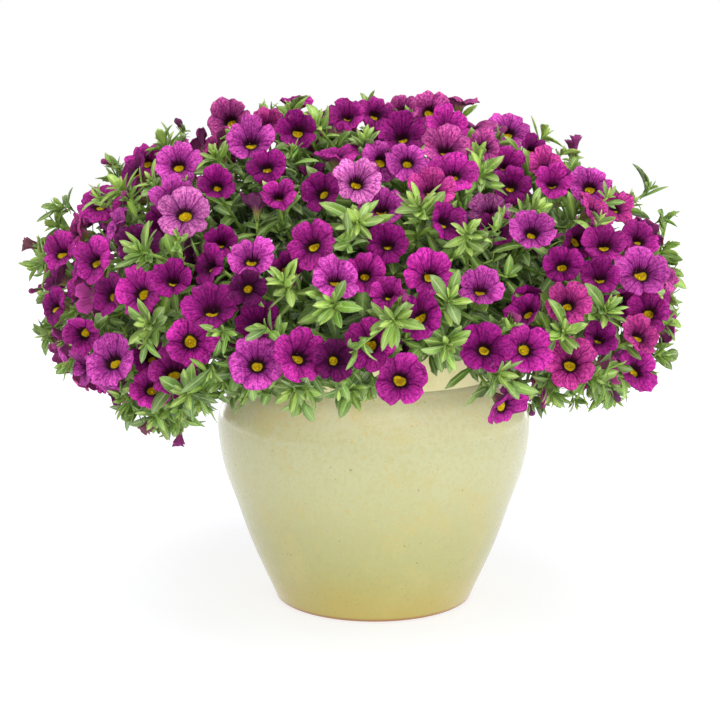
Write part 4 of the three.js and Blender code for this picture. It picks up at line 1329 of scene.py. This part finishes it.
def anthers(mesher, bloom, drop, draw):
    """The knot of anthers in the eye of a bloom, drop below the middle of its throat."""
    across, upward = np.array(frame_of(bloom["facing"], ABOUT_A_TURN * draw()))
    facing = np.array(bloom["facing"])
    down = np.array(unit(tuple(np.array([0, 0, -1.0]) + facing * facing[2])))
    base = np.array(bloom["centre"]) - ANTHER_DEPTH * facing + drop * down
    angles = ring_angles(ANTHER_COLUMNS)
    ways = ring_ways(angles, across, upward)
    rows = []
    for share, reach in ANTHER_SECTION:
        ripple = reach * (1 + 0.2 * np.cos(LOBES * angles))
        rows.append(base + ANTHER_LENGTH * share * facing + ripple[:, None] * ways)
    points = np.array(rows)
    places = np.zeros(points.shape)
    places[:, :, 0] = ANTHER_PLACE
    mesher.rings(points, places, TONES["M"])


SEPAL_TURN = 0.6
SEPAL_INSET = 1.2
SEPAL_SPLAY = (0.22, 0.2)
SEPAL_LENGTH = (0.85, 0.3)
SEPAL_HALF = 0.8
SEPAL_CURVE = (-0.08, 0, 0.2)
BLOOM_SEPALS = 6.0
BUD_SEPALS = 5.0


def calyx(mesher, neck, facing, spin, draw, reach):
    """Five narrow sepals that hug the base of a tube."""
    for k in range(LOBES):
        across, _ = frame_of(facing, spin + TURN * k / LOBES + SEPAL_TURN)
        root = along(along(neck, across, SEPAL_INSET), facing, -SEPAL_INSET)
        out = along(facing, across, pick(SEPAL_SPLAY, draw))
        inward = along((0, 0, 0), across, -1)
        sepal = Blade(root, out, inward, reach * pick(SEPAL_LENGTH, draw), SEPAL_CURVE)
        leaf(mesher, sepal, SEPAL_HALF, vary(CALYX_TINT, draw), LEAF_DEEP)


# Flowers that aren't open, furled or withered: share of the length and radius of each ring, length as
# least and span, how much the ring crumples, and how far its crumples lean along the flower.
FURLED = {
    "section": [(0, 0.7), (0.2, 1.0), (0.5, 1.25), (0.72, 1.9), (0.88, 1.75), (0.97, 0.9), (1.0, 0.25)],
    "length": (6, 6), "crumple": 0.4, "lean": 0,
}
WITHERED = {
    "section": [
        (0, 0.8), (0.25, 1.0), (0.5, 1.3), (0.7, 1.9), (0.86, 2.9), (1.0, 3.6), (0.9, 2.4), (0.7, 0.4),
    ],
    "length": (10, 4), "crumple": 1, "lean": 1.4,
}
UNOPENED = {
    "closed": (FURLED, TONES["P"]),
    "dark": (FURLED, TONES["K"]),
    "spent": (WITHERED, TONES["M"]),
    "dry": (WITHERED, DRY_TINT),
}
BUD_COLUMNS = 12
BUD_CRUMPLES = ((3, 0.3), (5, 0.2))
# Its place in the petals' material, from the tube to the mouth, is past the eye.
BUD_PLACE = (0.34, 0.5)
BUD_SEAT = 0.8


def bud_on(mesher, greens, tip, axis, draw, kind):
    """A flower that isn't open, in its calyx."""
    form, tint = UNOPENED[kind]
    span = pick(form["length"], draw)
    across, upward = np.array(frame_of(axis, ABOUT_A_TURN * draw()))
    angles = ring_angles(BUD_COLUMNS)
    ways = ring_ways(angles, across, upward)
    crumples = waves_round(angles, BUD_CRUMPLES, draw)
    rows, places = [], []
    for share, radius in form["section"]:
        fold = form["crumple"] * crumples * share
        level = span * share + form["lean"] * fold
        rows.append(np.array(tip) + np.outer(level, axis) + (radius * (1 + fold))[:, None] * ways)
        place = nth(BUD_PLACE, share) * np.stack([np.cos(angles), np.sin(angles)], axis=-1)
        places.append(np.concatenate([place, np.ones((BUD_COLUMNS, 1))], axis=1))
    mesher.rings(np.array(rows), np.array(places), vary(tint, draw))
    calyx(greens, along(tip, axis, BUD_SEAT), axis, ABOUT_A_TURN * draw(), draw, BUD_SEPALS)


# ---- Dressed stems ---------------------------------------------------------------------------------

STEM_RINGS = 26
STEM_SIDES = 7
STEM_RADII = (2.1, 1.35)
# Rings from the root up that bear no leaves, then the spacing and length of the leaves.
STEM_BARE_RINGS = 9
STEM_LEAVES = (3.2, 30)
BRANCH_RINGS = 8
BRANCH_SIDES = 5
# Branches: radius at the stem and at the tip, then the spacing and length of the leaves.
BLOOM_BRANCH = ((0.8, 1.05), 4.8, 18)
SHOOT_BRANCH = ((0.8, 1.0), 4.2, 17)
SPRIG_BRANCH = ((0.55, 0.7), 5.5, 12)
SHOOT_INNER = 8
SHOOT_LOWER = 5
OUTER_SPRIG = 0.8
# Steps of the random seeds from stem to stem, and from a stem's first bloom to its shoots and sprigs.
# Leafy stems are counted from LEAFY_SEEDS on.
STEM_SEEDS = 1000
LEAFY_SEEDS = 100
SHOOT_SEEDS = 300
SPRIG_SEEDS = 600


def branch(mesher, thicket, piece, draw, form):
    """A branch from its stem to the piece it carries, with its leaves."""
    radii, spacing, size = form
    path = list(piece["path"])
    if "place" in piece:
        path[0] = tuple(piece["stem"].smooth(piece["place"]))
    points = curve_through(path, BRANCH_RINGS)
    tint = vary(blend(TWIG_TINT, LEAF_TINT, 0.35), draw, 0.08)
    tube(mesher, points, np.linspace(*radii, len(points)), BRANCH_SIDES, tint)
    leaves_along(mesher, thicket, points, draw, spacing, size)


def dress_bloom(greens, flowers, thicket, bloom, draw):
    petals(flowers, bloom, draw)
    neck = along(bloom["centre"], bloom["facing"], -NECK_DEPTH)
    calyx(greens, neck, bloom["facing"], bloom["spin"], draw, BLOOM_SEPALS)
    branch(greens, thicket, bloom, draw, BLOOM_BRANCH)


def dress_shoot(greens, thicket, shoot, draw):
    tip, axis = shoot["tip"], shoot["axis"]
    tint = shoot_tint(tip, draw)
    rosette(greens, thicket, tip, axis, shoot["leaves"], draw, tint, SHOOT_INNER, SHOOT_LOWER)
    branch(greens, thicket, shoot, draw, SHOOT_BRANCH)


def dress_sprig(greens, flowers, thicket, sprig, draw):
    tip, axis, bud = sprig["tip"], sprig["axis"], sprig["bud"]
    outer = outwardness(tip)
    tint = blend(shaded_leaf_tint(tip), shoot_tint(tip, draw), outer)
    inner = 3 if outer > OUTER_SPRIG else 1
    rosette(greens, thicket, tip, axis, sprig["leaves"], draw, tint, 0 if bud else inner, 0)
    if bud:
        bud_on(flowers, greens, tip, axis, draw, bud)
    branch(greens, thicket, sprig, draw, SPRIG_BRANCH)


def dress_stem(stem, name, seed, thicket, materials):
    """The fine pieces that stand for one stem's node: its greenery and, where it flowers, its blooms."""
    greens, flowers = Mesher(), Mesher()
    draw = lottery(seed)
    points = np.array([stem.smooth(place) for place in np.linspace(0, STEM_STEPS, STEM_RINGS)])
    tube(greens, points, np.linspace(*STEM_RADII, STEM_RINGS), STEM_SIDES, vary(TWIG_TINT, draw, 0.06))
    leaves_along(greens, thicket, points[STEM_BARE_RINGS:], draw, *STEM_LEAVES)
    for index, bloom in enumerate(stem.blooms + stem.late_blooms):
        dress_bloom(greens, flowers, thicket, bloom, lottery(seed + 1 + index))
    for index, shoot in enumerate(stem.shoots):
        dress_shoot(greens, thicket, shoot, lottery(seed + SHOOT_SEEDS + index))
    for index, sprig in enumerate(stem.sprigs):
        dress_sprig(greens, flowers, thicket, sprig, lottery(seed + SPRIG_SEEDS + index))
    greens.build(f"{name}_greenery", materials["leaves"], "leaves", name)
    if flowers.points:
        flowers.build(f"{name}_blooms", materials["petals"], "petals", name)


# ---- Pot and soil ----------------------------------------------------------------------------------

POT_COLUMNS = 120
POT_WALL_RINGS = 64
POT_LINING_RINGS = 26
# Rounded edges and the lining between them: radius and height of each turning point.
POT_FOOT = [(0.5, 0), (40, 0), (62.4, 0), (65.2, 0.35), (66.6, 1.3)]
POT_LIP = [(88.0, 177.2), (87.3, 179.3), (85.8, 180.4), (84.2, 180.5), (82.4, 180.0), (81.4, 178.2)]
POT_LINING = [(81.0, 174), (77.5, 157), (90, 143), (96.3, 128), (93.5, 90), (75, 38), (62, 14)]
POT_FLOOR = [(57, 11), (20, 11), (0.5, 11)]
DRILL_SIDES = 24
DRILL_LENGTH = 30
DRILL_HEIGHT = 5

SOIL_SEED = 11
SOIL_COLUMNS = 150
SOIL_RINGS = 40
# Gaps to the pot's floor and wall, and the radii of the innermost rings at the floor and at the top.
SOIL_GAP = 0.5
SOIL_SIDE_GAP = 0.6
FLOOR_MIDDLE = 0.5
TOP_MIDDLE = 0.6
SOIL_CRUMBS = 36
CRUMB_HEIGHT = 0.28
# Pitch and depth of the waves that make the crumbs, as least and span.
CRUMB_PITCH = (0.12, 0.9)
CRUMB_DEPTH = (0.35, 0.5)


def lathe_rings(profile, columns):
    """The rings that a profile's radii and heights make round Z."""
    angles = ring_angles(columns)
    level = np.stack([np.cos(angles), np.sin(angles), np.zeros(columns)], axis=-1)
    return np.array([r * level + (0, 0, z) for r, z in profile])


def lathed(points, name, material, slot, node):
    mesher = Mesher()
    mesher.rings(points, np.zeros(points.shape), (1, 1, 1))
    return mesher.build(name, material, slot, node)


def rounded(profile, rings):
    """A smooth curve through radii and heights."""
    return [(r, z) for r, z in curve_through(profile, rings)]


def drill(piece, x, y):
    """Cuts a round drain hole through the pot's floor."""
    bpy.ops.mesh.primitive_cylinder_add(
        vertices=DRILL_SIDES, radius=DRAIN_HOLE_RADIUS * MM, depth=DRILL_LENGTH * MM,
        location=(x * MM, y * MM, DRILL_HEIGHT * MM),
    )
    bit = bpy.context.object
    cut = piece.modifiers.new("hole", "BOOLEAN")
    cut.operation = "DIFFERENCE"
    cut.solver = "EXACT"
    cut.object = bit
    bpy.context.view_layer.objects.active = piece
    bpy.ops.object.modifier_apply(modifier=cut.name)
    bpy.data.objects.remove(bit)


def make_pot(material):
    """The pot: out from the underside, up the wall, over the lip and down the lining."""
    wall = rounded(POT_OUTSIDE[2:12], POT_WALL_RINGS)
    lining = rounded(POT_LINING, POT_LINING_RINGS)
    points = lathe_rings([*POT_FOOT, *wall, *POT_LIP, *lining, *POT_FLOOR], POT_COLUMNS)
    piece = lathed(points, "glazed_pot", material, "glaze", "pot")
    for turn in range(DRAIN_HOLES):
        angle = TURN * (turn + 0.5) / DRAIN_HOLES
        drill(piece, DRAIN_CIRCLE_RADIUS * math.cos(angle), DRAIN_CIRCLE_RADIUS * math.sin(angle))


def make_soil(material):
    """Compost with a rough, crumbly top."""
    draw = lottery(SOIL_SEED)
    floor = POT_INSIDE[-1][1]
    inside = [(r, z) for r, z in POT_INSIDE if z < SOIL_TOP][::-1]
    wall = [(max(FLOOR_MIDDLE, r - SOIL_SIDE_GAP), z + (SOIL_GAP if z == floor else 0)) for r, z in inside]
    edge = radius_at(POT_INSIDE, SOIL_TOP) - SOIL_SIDE_GAP
    top = [(r, SOIL_TOP + SOIL_CROWN * (1 - r / edge)) for r in np.linspace(edge, TOP_MIDDLE, SOIL_RINGS)]
    points = lathe_rings([*wall, *top], SOIL_COLUMNS)
    crumbs = [
        (ABOUT_A_TURN * draw(), ABOUT_A_TURN * draw(), pick(CRUMB_PITCH, draw), pick(CRUMB_DEPTH, draw))
        for _ in range(SOIL_CRUMBS)
    ]
    for ring in points[len(wall) + 1 :]:
        for turn, phase, pitch, depth in crumbs:
            shift = ring[:, 0] * math.cos(turn) + ring[:, 1] * math.sin(turn)
            ring[:, 2] += CRUMB_HEIGHT * depth * np.sin(pitch * shift + phase)
    lathed(points, "compost", material, "compost", "soil")


# ---- Materials -------------------------------------------------------------------------------------


class Value:
    """A node's output, for sums with other outputs and numbers."""

    def __init__(self, graph, socket):
        self.graph = graph
        self.socket = socket

    def __add__(self, other):
        return self.graph.math("ADD", self, other)

    def __sub__(self, other):
        return self.graph.math("SUBTRACT", self, other)

    def __rsub__(self, other):
        return self.graph.math("SUBTRACT", other, self)

    def __mul__(self, other):
        return self.graph.math("MULTIPLY", self, other)

    def __truediv__(self, other):
        return self.graph.math("DIVIDE", self, other)

    def __abs__(self):
        return self.graph.math("ABSOLUTE", self)


class Graph:
    """Short calls for a material's nodes."""

    def __init__(self, name):
        self.material = bpy.data.materials.new(name)
        self.material.use_nodes = True
        self.tree = self.material.node_tree
        self.shader = self.tree.nodes["Principled BSDF"]

    def put(self, target, value):
        if isinstance(value, Value):
            self.tree.links.new(value.socket, target)
        else:
            target.default_value = value

    def node(self, kind, inputs=None, output=0, **settings):
        node = self.tree.nodes.new(kind)
        for key, value in settings.items():
            setattr(node, key, value)
        for key, value in (inputs or {}).items():
            self.put(node.inputs[key], value)
        return Value(self, node.outputs[output])

    def math(self, operation, *values):
        return self.node("ShaderNodeMath", dict(enumerate(values)), operation=operation)

    def ramp(self, value, start, end, low=0.0, high=1.0):
        """low where the value is at start and high at end, eased between them."""
        inputs = {0: value, 1: start, 2: end, 3: low, 4: high}
        return self.node("ShaderNodeMapRange", inputs, interpolation_type="SMOOTHSTEP")

    def mix(self, share, a, b, mode="MIX"):
        tones = [(*value, 1) if isinstance(value, tuple) else value for value in (a, b)]
        inputs = {0: share, 6: tones[0], 7: tones[1]}
        return self.node("ShaderNodeMix", inputs, output=2, data_type="RGBA", blend_type=mode)

    def layers(self, colour, *layers):
        """Lays tones over a colour, each where its value runs from start to full, and as strong as given."""
        for value, start, full, strength, tone in layers:
            colour = self.mix(self.ramp(value, start, full) * strength, colour, tone)
        return colour

    def attribute(self, name, output):
        return self.node("ShaderNodeAttribute", attribute_name=name, output=output)

    def noise(self, vector, scale, detail=2.0, roughness=0.5):
        inputs = {"Vector": vector, "Scale": scale, "Detail": detail, "Roughness": roughness}
        return self.node("ShaderNodeTexNoise", inputs)

    def split(self, vector):
        """The three numbers of a vector."""
        return [self.node("ShaderNodeSeparateXYZ", {0: vector}, output=axis) for axis in range(3)]

    def vector(self, x, y, z):
        return self.node("ShaderNodeCombineXYZ", {0: x, 1: y, 2: z})

    def where(self):
        """Place in the part's own frame, in metres."""
        return self.node("ShaderNodeTexCoord", output=3)

    def surface(self, colour, settings):
        self.put(self.shader.inputs["Base Color"], colour)
        for name, value in settings.items():
            self.put(self.shader.inputs[name], value)
        return self.material

    def bump(self, height, depth, strength=1.0):
        normal = self.node("ShaderNodeBump", {"Strength": strength, "Distance": depth, "Height": height})
        self.put(self.shader.inputs["Normal"], normal)


LOBE_HALF = 36 * RAD


def petal_material():
    """Magenta petals with dark veins, a near-black throat, a yellow eye, and painted shade along the creased
    seams between the lobes.
    """
    g = Graph("petals")
    tint = g.attribute("tint", 0)
    x, y, side = g.split(g.attribute("place", 1))
    reach = g.math("SQRT", x * x + y * y)
    grain = g.noise(g.where(), 640.0, 4.0, 0.72)
    blotch = g.noise(g.where(), 95.0, 2.0)
    smudge = g.noise(g.where(), 210.0, 3.0, 0.6)
    ray = fan_noise(g, x, y, reach)
    seam, veins = petal_veins(g, x, y, reach)
    deep = g.mix(1.0, tint, (0.30, 0.20, 0.36), "MULTIPLY")
    pale = g.mix(1.0, tint, (1.32, 2.3, 1.36), "MULTIPLY")
    colour = g.layers(
        tint,
        (reach, 0.55, 1.02, 0.55, pale),
        (blotch, 0.4, 0.7, 0.35, pale),
        (smudge, 0.5, 0.68, 0.55, deep),
        (ray, 0.5, 0.62, 0.65, pale),
        (ray, 0.5, 0.38, 0.6, deep),
        (grain, 0.5, 0.59, 0.62, deep),
        (grain, 0.49, 0.41, 0.75, pale),
        # Painted shade in the creases along the seams between the lobes.
        (seam, 0.3, 0.0, 0.3, deep),
    )
    colour = g.mix(veins * 0.85, colour, deep)
    edge = reach + (ray - 0.5) * 0.3 - veins * 0.14
    patch = reach + (blotch - 0.5) * 0.22
    yellow = g.layers(srgb(242, 208, 30), (smudge, 0.42, 0.68, 0.6, srgb(176, 130, 14)))
    colour = g.layers(
        colour,
        (edge, 0.8, 0.28, 0.7, deep),
        (edge, 0.37, 0.24, 1.0, srgb(44, 8, 32)),
        (patch, 0.212, 0.178, 1.0, yellow),
        (reach, 0.1, 0.05, 1.0, srgb(196, 160, 26)),
    )
    mauve = g.mix(0.42, tint, srgb(170, 104, 150))
    back = g.mix(veins * 0.7, mauve, deep)
    back = g.layers(back, (edge, 0.36, 0.16, 1.0, srgb(168, 150, 92)))
    g.bump(grain * 0.5 + ray - veins, 0.0007, 0.9)
    return g.surface(g.mix(side, colour, back), {
        "Roughness": 0.6, "Specular IOR Level": 0.16, "Subsurface Weight": 0.08,
        "Subsurface Radius": (0.001, 0.0003, 0.0007), "Subsurface Scale": 1.0,
    })


def fan_noise(g, x, y, reach):
    """Streaks that run out from the throat, other ones on each bloom."""
    fan = g.vector(x / reach * 14.0, y / reach * 14.0, reach * 4.0)
    apart = g.node("ShaderNodeVectorMath", {0: g.where(), 3: 60.0}, operation="SCALE")
    return g.noise(g.node("ShaderNodeVectorMath", {0: fan, 1: apart}, operation="ADD"), 1.0, 3.0, 0.65)


def petal_veins(g, x, y, reach):
    """Distance from the seams between the lobes, and veins at the seams, in the middle and between."""
    lobe = g.math("WRAP", g.math("ARCTAN2", y, x), LOBE_HALF, -LOBE_HALF) / LOBE_HALF
    wander = (g.noise(g.where(), 240.0, 2.0) - 0.5) * 0.3
    across = abs(lobe + wander)
    seam = 1.0 - across
    veins = vein(g, seam, reach, 0.015, 0.06, 0.95)
    for away, core, edge, strength in (
        (across, 0.008, 0.04, 0.8),
        (comb(g, across, 3.0), 0.0, 0.022, 0.45),
        (comb(g, across, 8.0), 0.0, 0.013, 0.34),
    ):
        veins = g.math("MAXIMUM", veins, vein(g, away, reach, core, edge, strength))
    return seam, veins * (1.0 - g.ramp(reach, 0.7, 1.05) * 0.5)


def comb(g, across, count):
    """Distance to the nearest of count lines between a lobe's middle and its seam."""
    return abs(g.math("FRACT", across * count + 0.5) - 0.5) / count


def vein(g, away, reach, core, edge, strength):
    """A line where away is small, as wide near the throat as at the rim."""
    return g.ramp(away * reach, edge, core) * strength


def leaf_material():
    """Leaves with a pale midrib, side veins and a greyer underside. Stalks are plain and streaked."""
    g = Graph("leaves")
    tint = g.attribute("tint", 0)
    x, y, kind = g.split(g.attribute("place", 1))
    blade = g.ramp(kind, 1.6, 1.4)
    blotch = g.noise(g.where(), 110.0, 3.0)
    grain = g.noise(g.where(), 900.0, 2.0)
    across = abs(x)
    rib = g.ramp(across, 0.2, 0.04)
    stripe = g.ramp(abs(g.math("FRACT", y * 9.0 - across * 2.2) - 0.5), 0.16, 0.03)
    veins = g.math("MAXIMUM", rib, stripe * g.ramp(across, 0.05, 0.2) * 0.35) * blade
    dark = g.mix(1.0, tint, (0.5, 0.6, 0.42), "MULTIPLY")
    light = g.mix(0.45, tint, srgb(222, 236, 176))
    colour = g.mix(g.ramp(blotch, 0.32, 0.72), dark, tint)
    colour = g.layers(colour, (y, 0.55, 1.0, blade * 0.3, light))
    colour = g.mix(veins * 0.75, colour, light)
    colour = g.layers(
        colour,
        (across, 0.8, 0.98, blade * 0.55, light),
        (kind, 0.2, 0.9, blade * 0.4, g.mix(0.5, tint, srgb(140, 164, 112))),
    )
    g.bump(grain * 0.3 - veins, 0.00016, 0.7)
    return g.surface(colour, {
        "Roughness": 0.38, "Specular IOR Level": 0.4, "Subsurface Weight": 0.05,
        "Subsurface Radius": (0.0012, 0.0016, 0.0005), "Subsurface Scale": 1.0,
    })


def glaze_material():
    """Celadon glaze over stoneware: streaked, speckled, creamier on the neck and browner at the foot, with
    painted light on the shoulder and a thin painted highlight where the neck meets it.
    """
    g = Graph("glaze")
    where = g.where()
    x, y, z = g.split(where)
    streak = g.noise(g.vector(x, y, z * 0.08), 380.0, 4.0, 0.62)
    cloud = g.noise(where, 16.0, 3.0)
    patch = g.noise(where, 26.0, 4.0, 0.62)
    mottle = g.noise(where, 260.0, 3.0, 0.6)
    grain = g.noise(where, 700.0, 2.0)
    speck = g.noise(where, 460.0, 1.0)
    dots = g.noise(where, 430.0, 0.0)
    body = g.layers(
        srgb(166, 164, 100),
        (z, 0.02, 0.12, 1.0, srgb(188, 187, 141)),
        (streak, 0.42, 0.66, 0.1, srgb(196, 195, 146)),
        (cloud, 0.4, 0.75, 0.3, srgb(176, 177, 118)),
        (mottle, 0.45, 0.65, 0.36, srgb(178, 171, 106)),
        (patch, 0.52, 0.7, 0.45, srgb(190, 176, 108)),
        (speck, 0.62, 0.74, 0.45, srgb(196, 164, 86)),
        (dots, 0.85, 0.87, 0.6, srgb(76, 74, 34)),
    )
    # Painted light: the shoulder is made much lighter than the body, to make up for the plant's shade that
    # falls on it.
    shoulder_painted_light = g.mix(1.0, body, (1.95, 1.85, 2.2), "MULTIPLY")
    neck = g.layers(srgb(238, 229, 166), (patch, 0.5, 0.7, 0.4, srgb(214, 190, 112)))
    body = g.layers(
        body,
        (z, 0.12, 0.146, 1.0, shoulder_painted_light),
        (z, 0.1515, 0.156, 1.0, neck),
        # A thin painted highlight where the neck meets the shoulder.
        (abs(z - 0.1528), 0.0016, 0.0005, 0.5, srgb(232, 228, 196)),
        (z + (patch - 0.5) * 0.04, 0.046, 0.0, 0.7, srgb(180, 158, 68)),
        (z, 0.0034, 0.0012, 1.0, srgb(150, 96, 44)),
    )
    rough = g.node("ShaderNodeMapRange", {0: mottle, 1: 0.3, 2: 0.8, 3: 0.26, 4: 0.36})
    g.bump(grain + mottle, 0.0002, 0.3)
    return g.surface(body, {"Roughness": rough, "Coat Weight": 0.5, "Coat Roughness": 0.06})


def soil_material():
    """Dark crumbs with paler bits of bark."""
    g = Graph("compost")
    crumbs = g.noise(g.where(), 240.0, 6.0, 0.7)
    bits = g.noise(g.where(), 700.0, 2.0)
    colour = g.layers(
        srgb(34, 24, 17),
        (crumbs, 0.35, 0.68, 1.0, srgb(78, 56, 38)),
        (bits, 0.72, 0.78, 0.8, srgb(150, 130, 100)),
    )
    g.bump(crumbs, 0.002)
    return g.surface(colour, {"Roughness": 0.95})


def floor_material():
    """Plain and pale, and brighter away from the pot so that it has no horizon."""
    g = Graph("floor")
    haze = g.noise(g.where(), 3.0, 1.0)
    away = g.node("ShaderNodeVectorMath", {0: g.where()}, output=1, operation="LENGTH")
    glow = g.ramp(away, 0.4, 2.4, 0.72, 1.0)
    return g.surface(g.mix(haze, (0.43, 0.438, 0.48), (0.45, 0.458, 0.5)), {
        "Roughness": 0.9, "Specular IOR Level": 0.1,
        "Emission Color": (1, 1, 1, 1), "Emission Strength": glow,
    })


# ---- Stage, camera and light, in metres ------------------------------------------------------------

FLOOR_HALF = 6.0
CAMERA_PLACE = (-0.0093, -1.0, 0.3144)
CAMERA_PITCH = 8.67
LENS = 75
SENSOR_WIDTH = 36
VIEW_END = 50
# Softboxes: name, place, height that each is aimed at, width and height, and power.
SOFTBOXES = [
    ("top", (0.0, -0.5, 1.9), 0.2, (2.0, 1.6), 31),
    ("front", (0.8, -2.3, 0.45), 0.15, (2.6, 0.9), 38),
    ("side_left", (-1.1, 0.1, 0.45), 0.15, (1.3, 1.1), 3),
    ("back_left", (-0.75, 1.3, 0.5), 0.15, (0.35, 1.1), 2.5),
    ("side_right", (1.1, 0.1, 0.45), 0.15, (1.3, 1.1), 3),
    ("back_right", (0.75, 1.3, 0.5), 0.15, (0.35, 1.1), 2.5),
]
SKY_LIGHT = 0.28
SKY_SEEN = 1.0


def make_floor():
    mesh = bpy.data.meshes.new("floor")
    half = FLOOR_HALF
    corners = [(-half, -half, 0), (half, -half, 0), (half, half, 0), (-half, half, 0)]
    mesh.from_pydata(corners, [], [(0, 1, 2, 3)])
    mesh.materials.append(floor_material())
    floor = bpy.data.objects.new("floor", mesh)
    bpy.context.scene.collection.objects.link(floor)


def make_camera():
    data = bpy.data.cameras.new("camera")
    data.lens = LENS
    data.sensor_width = SENSOR_WIDTH
    data.clip_end = VIEW_END
    camera = bpy.data.objects.new("camera", data)
    camera.location = CAMERA_PLACE
    camera.rotation_euler = ((90 - CAMERA_PITCH) * RAD, 0, 0)
    bpy.context.scene.collection.objects.link(camera)
    bpy.context.scene.camera = camera


def make_softbox(name, place, aim, size, power):
    data = bpy.data.lights.new(name, "AREA")
    data.shape = "RECTANGLE"
    data.size, data.size_y = size
    data.energy = power
    light = bpy.data.objects.new(name, data)
    light.location = place
    light.rotation_euler = (Vector((0, 0, aim)) - Vector(place)).to_track_quat("-Z", "Y").to_euler()
    # The front box would leave a hard white window on the glaze.
    light.visible_glossy = name != "front"
    bpy.context.scene.collection.objects.link(light)


def make_light():
    """Softboxes all round and a white sky, which is brighter to look at than as a light."""
    for box in SOFTBOXES:
        make_softbox(*box)
    world = bpy.data.worlds.new("studio")
    world.use_nodes = True
    nodes, links = world.node_tree.nodes, world.node_tree.links
    backdrop = nodes["Background"]
    backdrop.inputs["Color"].default_value = (1, 1, 1, 1)
    seen = nodes.new("ShaderNodeLightPath").outputs["Is Camera Ray"]
    level = nodes.new("ShaderNodeMapRange")
    level.inputs["To Min"].default_value = SKY_LIGHT
    level.inputs["To Max"].default_value = SKY_SEEN
    links.new(seen, level.inputs["Value"])
    links.new(level.outputs[0], backdrop.inputs["Strength"])
    bpy.context.scene.world = world
    bpy.context.scene.view_settings.view_transform = "Standard"


# ---- Assembly --------------------------------------------------------------------------------------


def grow():
    """Lays the plant out and hands each stem what grows on it."""
    thicket = Thicket()
    stems = lay_stems(FLOWER_RINGS, "flower") + lay_stems(LEAFY_RINGS, "leafy")
    for stem in stems:
        thicket.add(line_samples(stem.path[1:], STEM_ROOM), ("stem", stem))
    blooms = place_blooms(thicket, stems)
    shoots = place_shoots(thicket, stems)
    for bloom in blooms:
        bloom["stem"].blooms.append(bloom)
    for shoot in shoots:
        shoot["stem"].shoots.append(shoot)
    stems = [stem for stem in stems if stem.taken]
    pieces = blooms + shoots
    for draw_piece, draws, target in (
        (draw_late_bloom, LATE_DRAWS, LATE_TARGET),
        (draw_side_bloom, SIDE_DRAWS, SIDE_TARGET),
    ):
        for bloom in place_growth(thicket, pieces, draw_piece, draws, target, bloom_samples, LATE_SPACING):
            bloom["stem"].late_blooms.append(bloom)
    sprigs = place_growth(thicket, pieces, draw_sprig, SPRIG_DRAWS, SPRIG_TARGET, leaf_samples, SPRIG_SPACING)
    for sprig in sprigs:
        sprig["stem"].sprigs.append(sprig)
    return thicket, stems


def make_plant():
    materials = {"petals": petal_material(), "leaves": leaf_material()}
    thicket, stems = grow()
    for kind, first in (("flower", 0), ("leafy", LEAFY_SEEDS)):
        for number, stem in enumerate((stem for stem in stems if stem.kind == kind), 1):
            seed = LOOK_SEED + STEM_SEEDS * (first + number)
            dress_stem(stem, f"{kind}_stem_{number:02d}", seed, thicket, materials)


def main():
    make_camera()
    make_plant()
    make_pot(glaze_material())
    make_soil(soil_material())
    make_floor()
    make_light()


main()
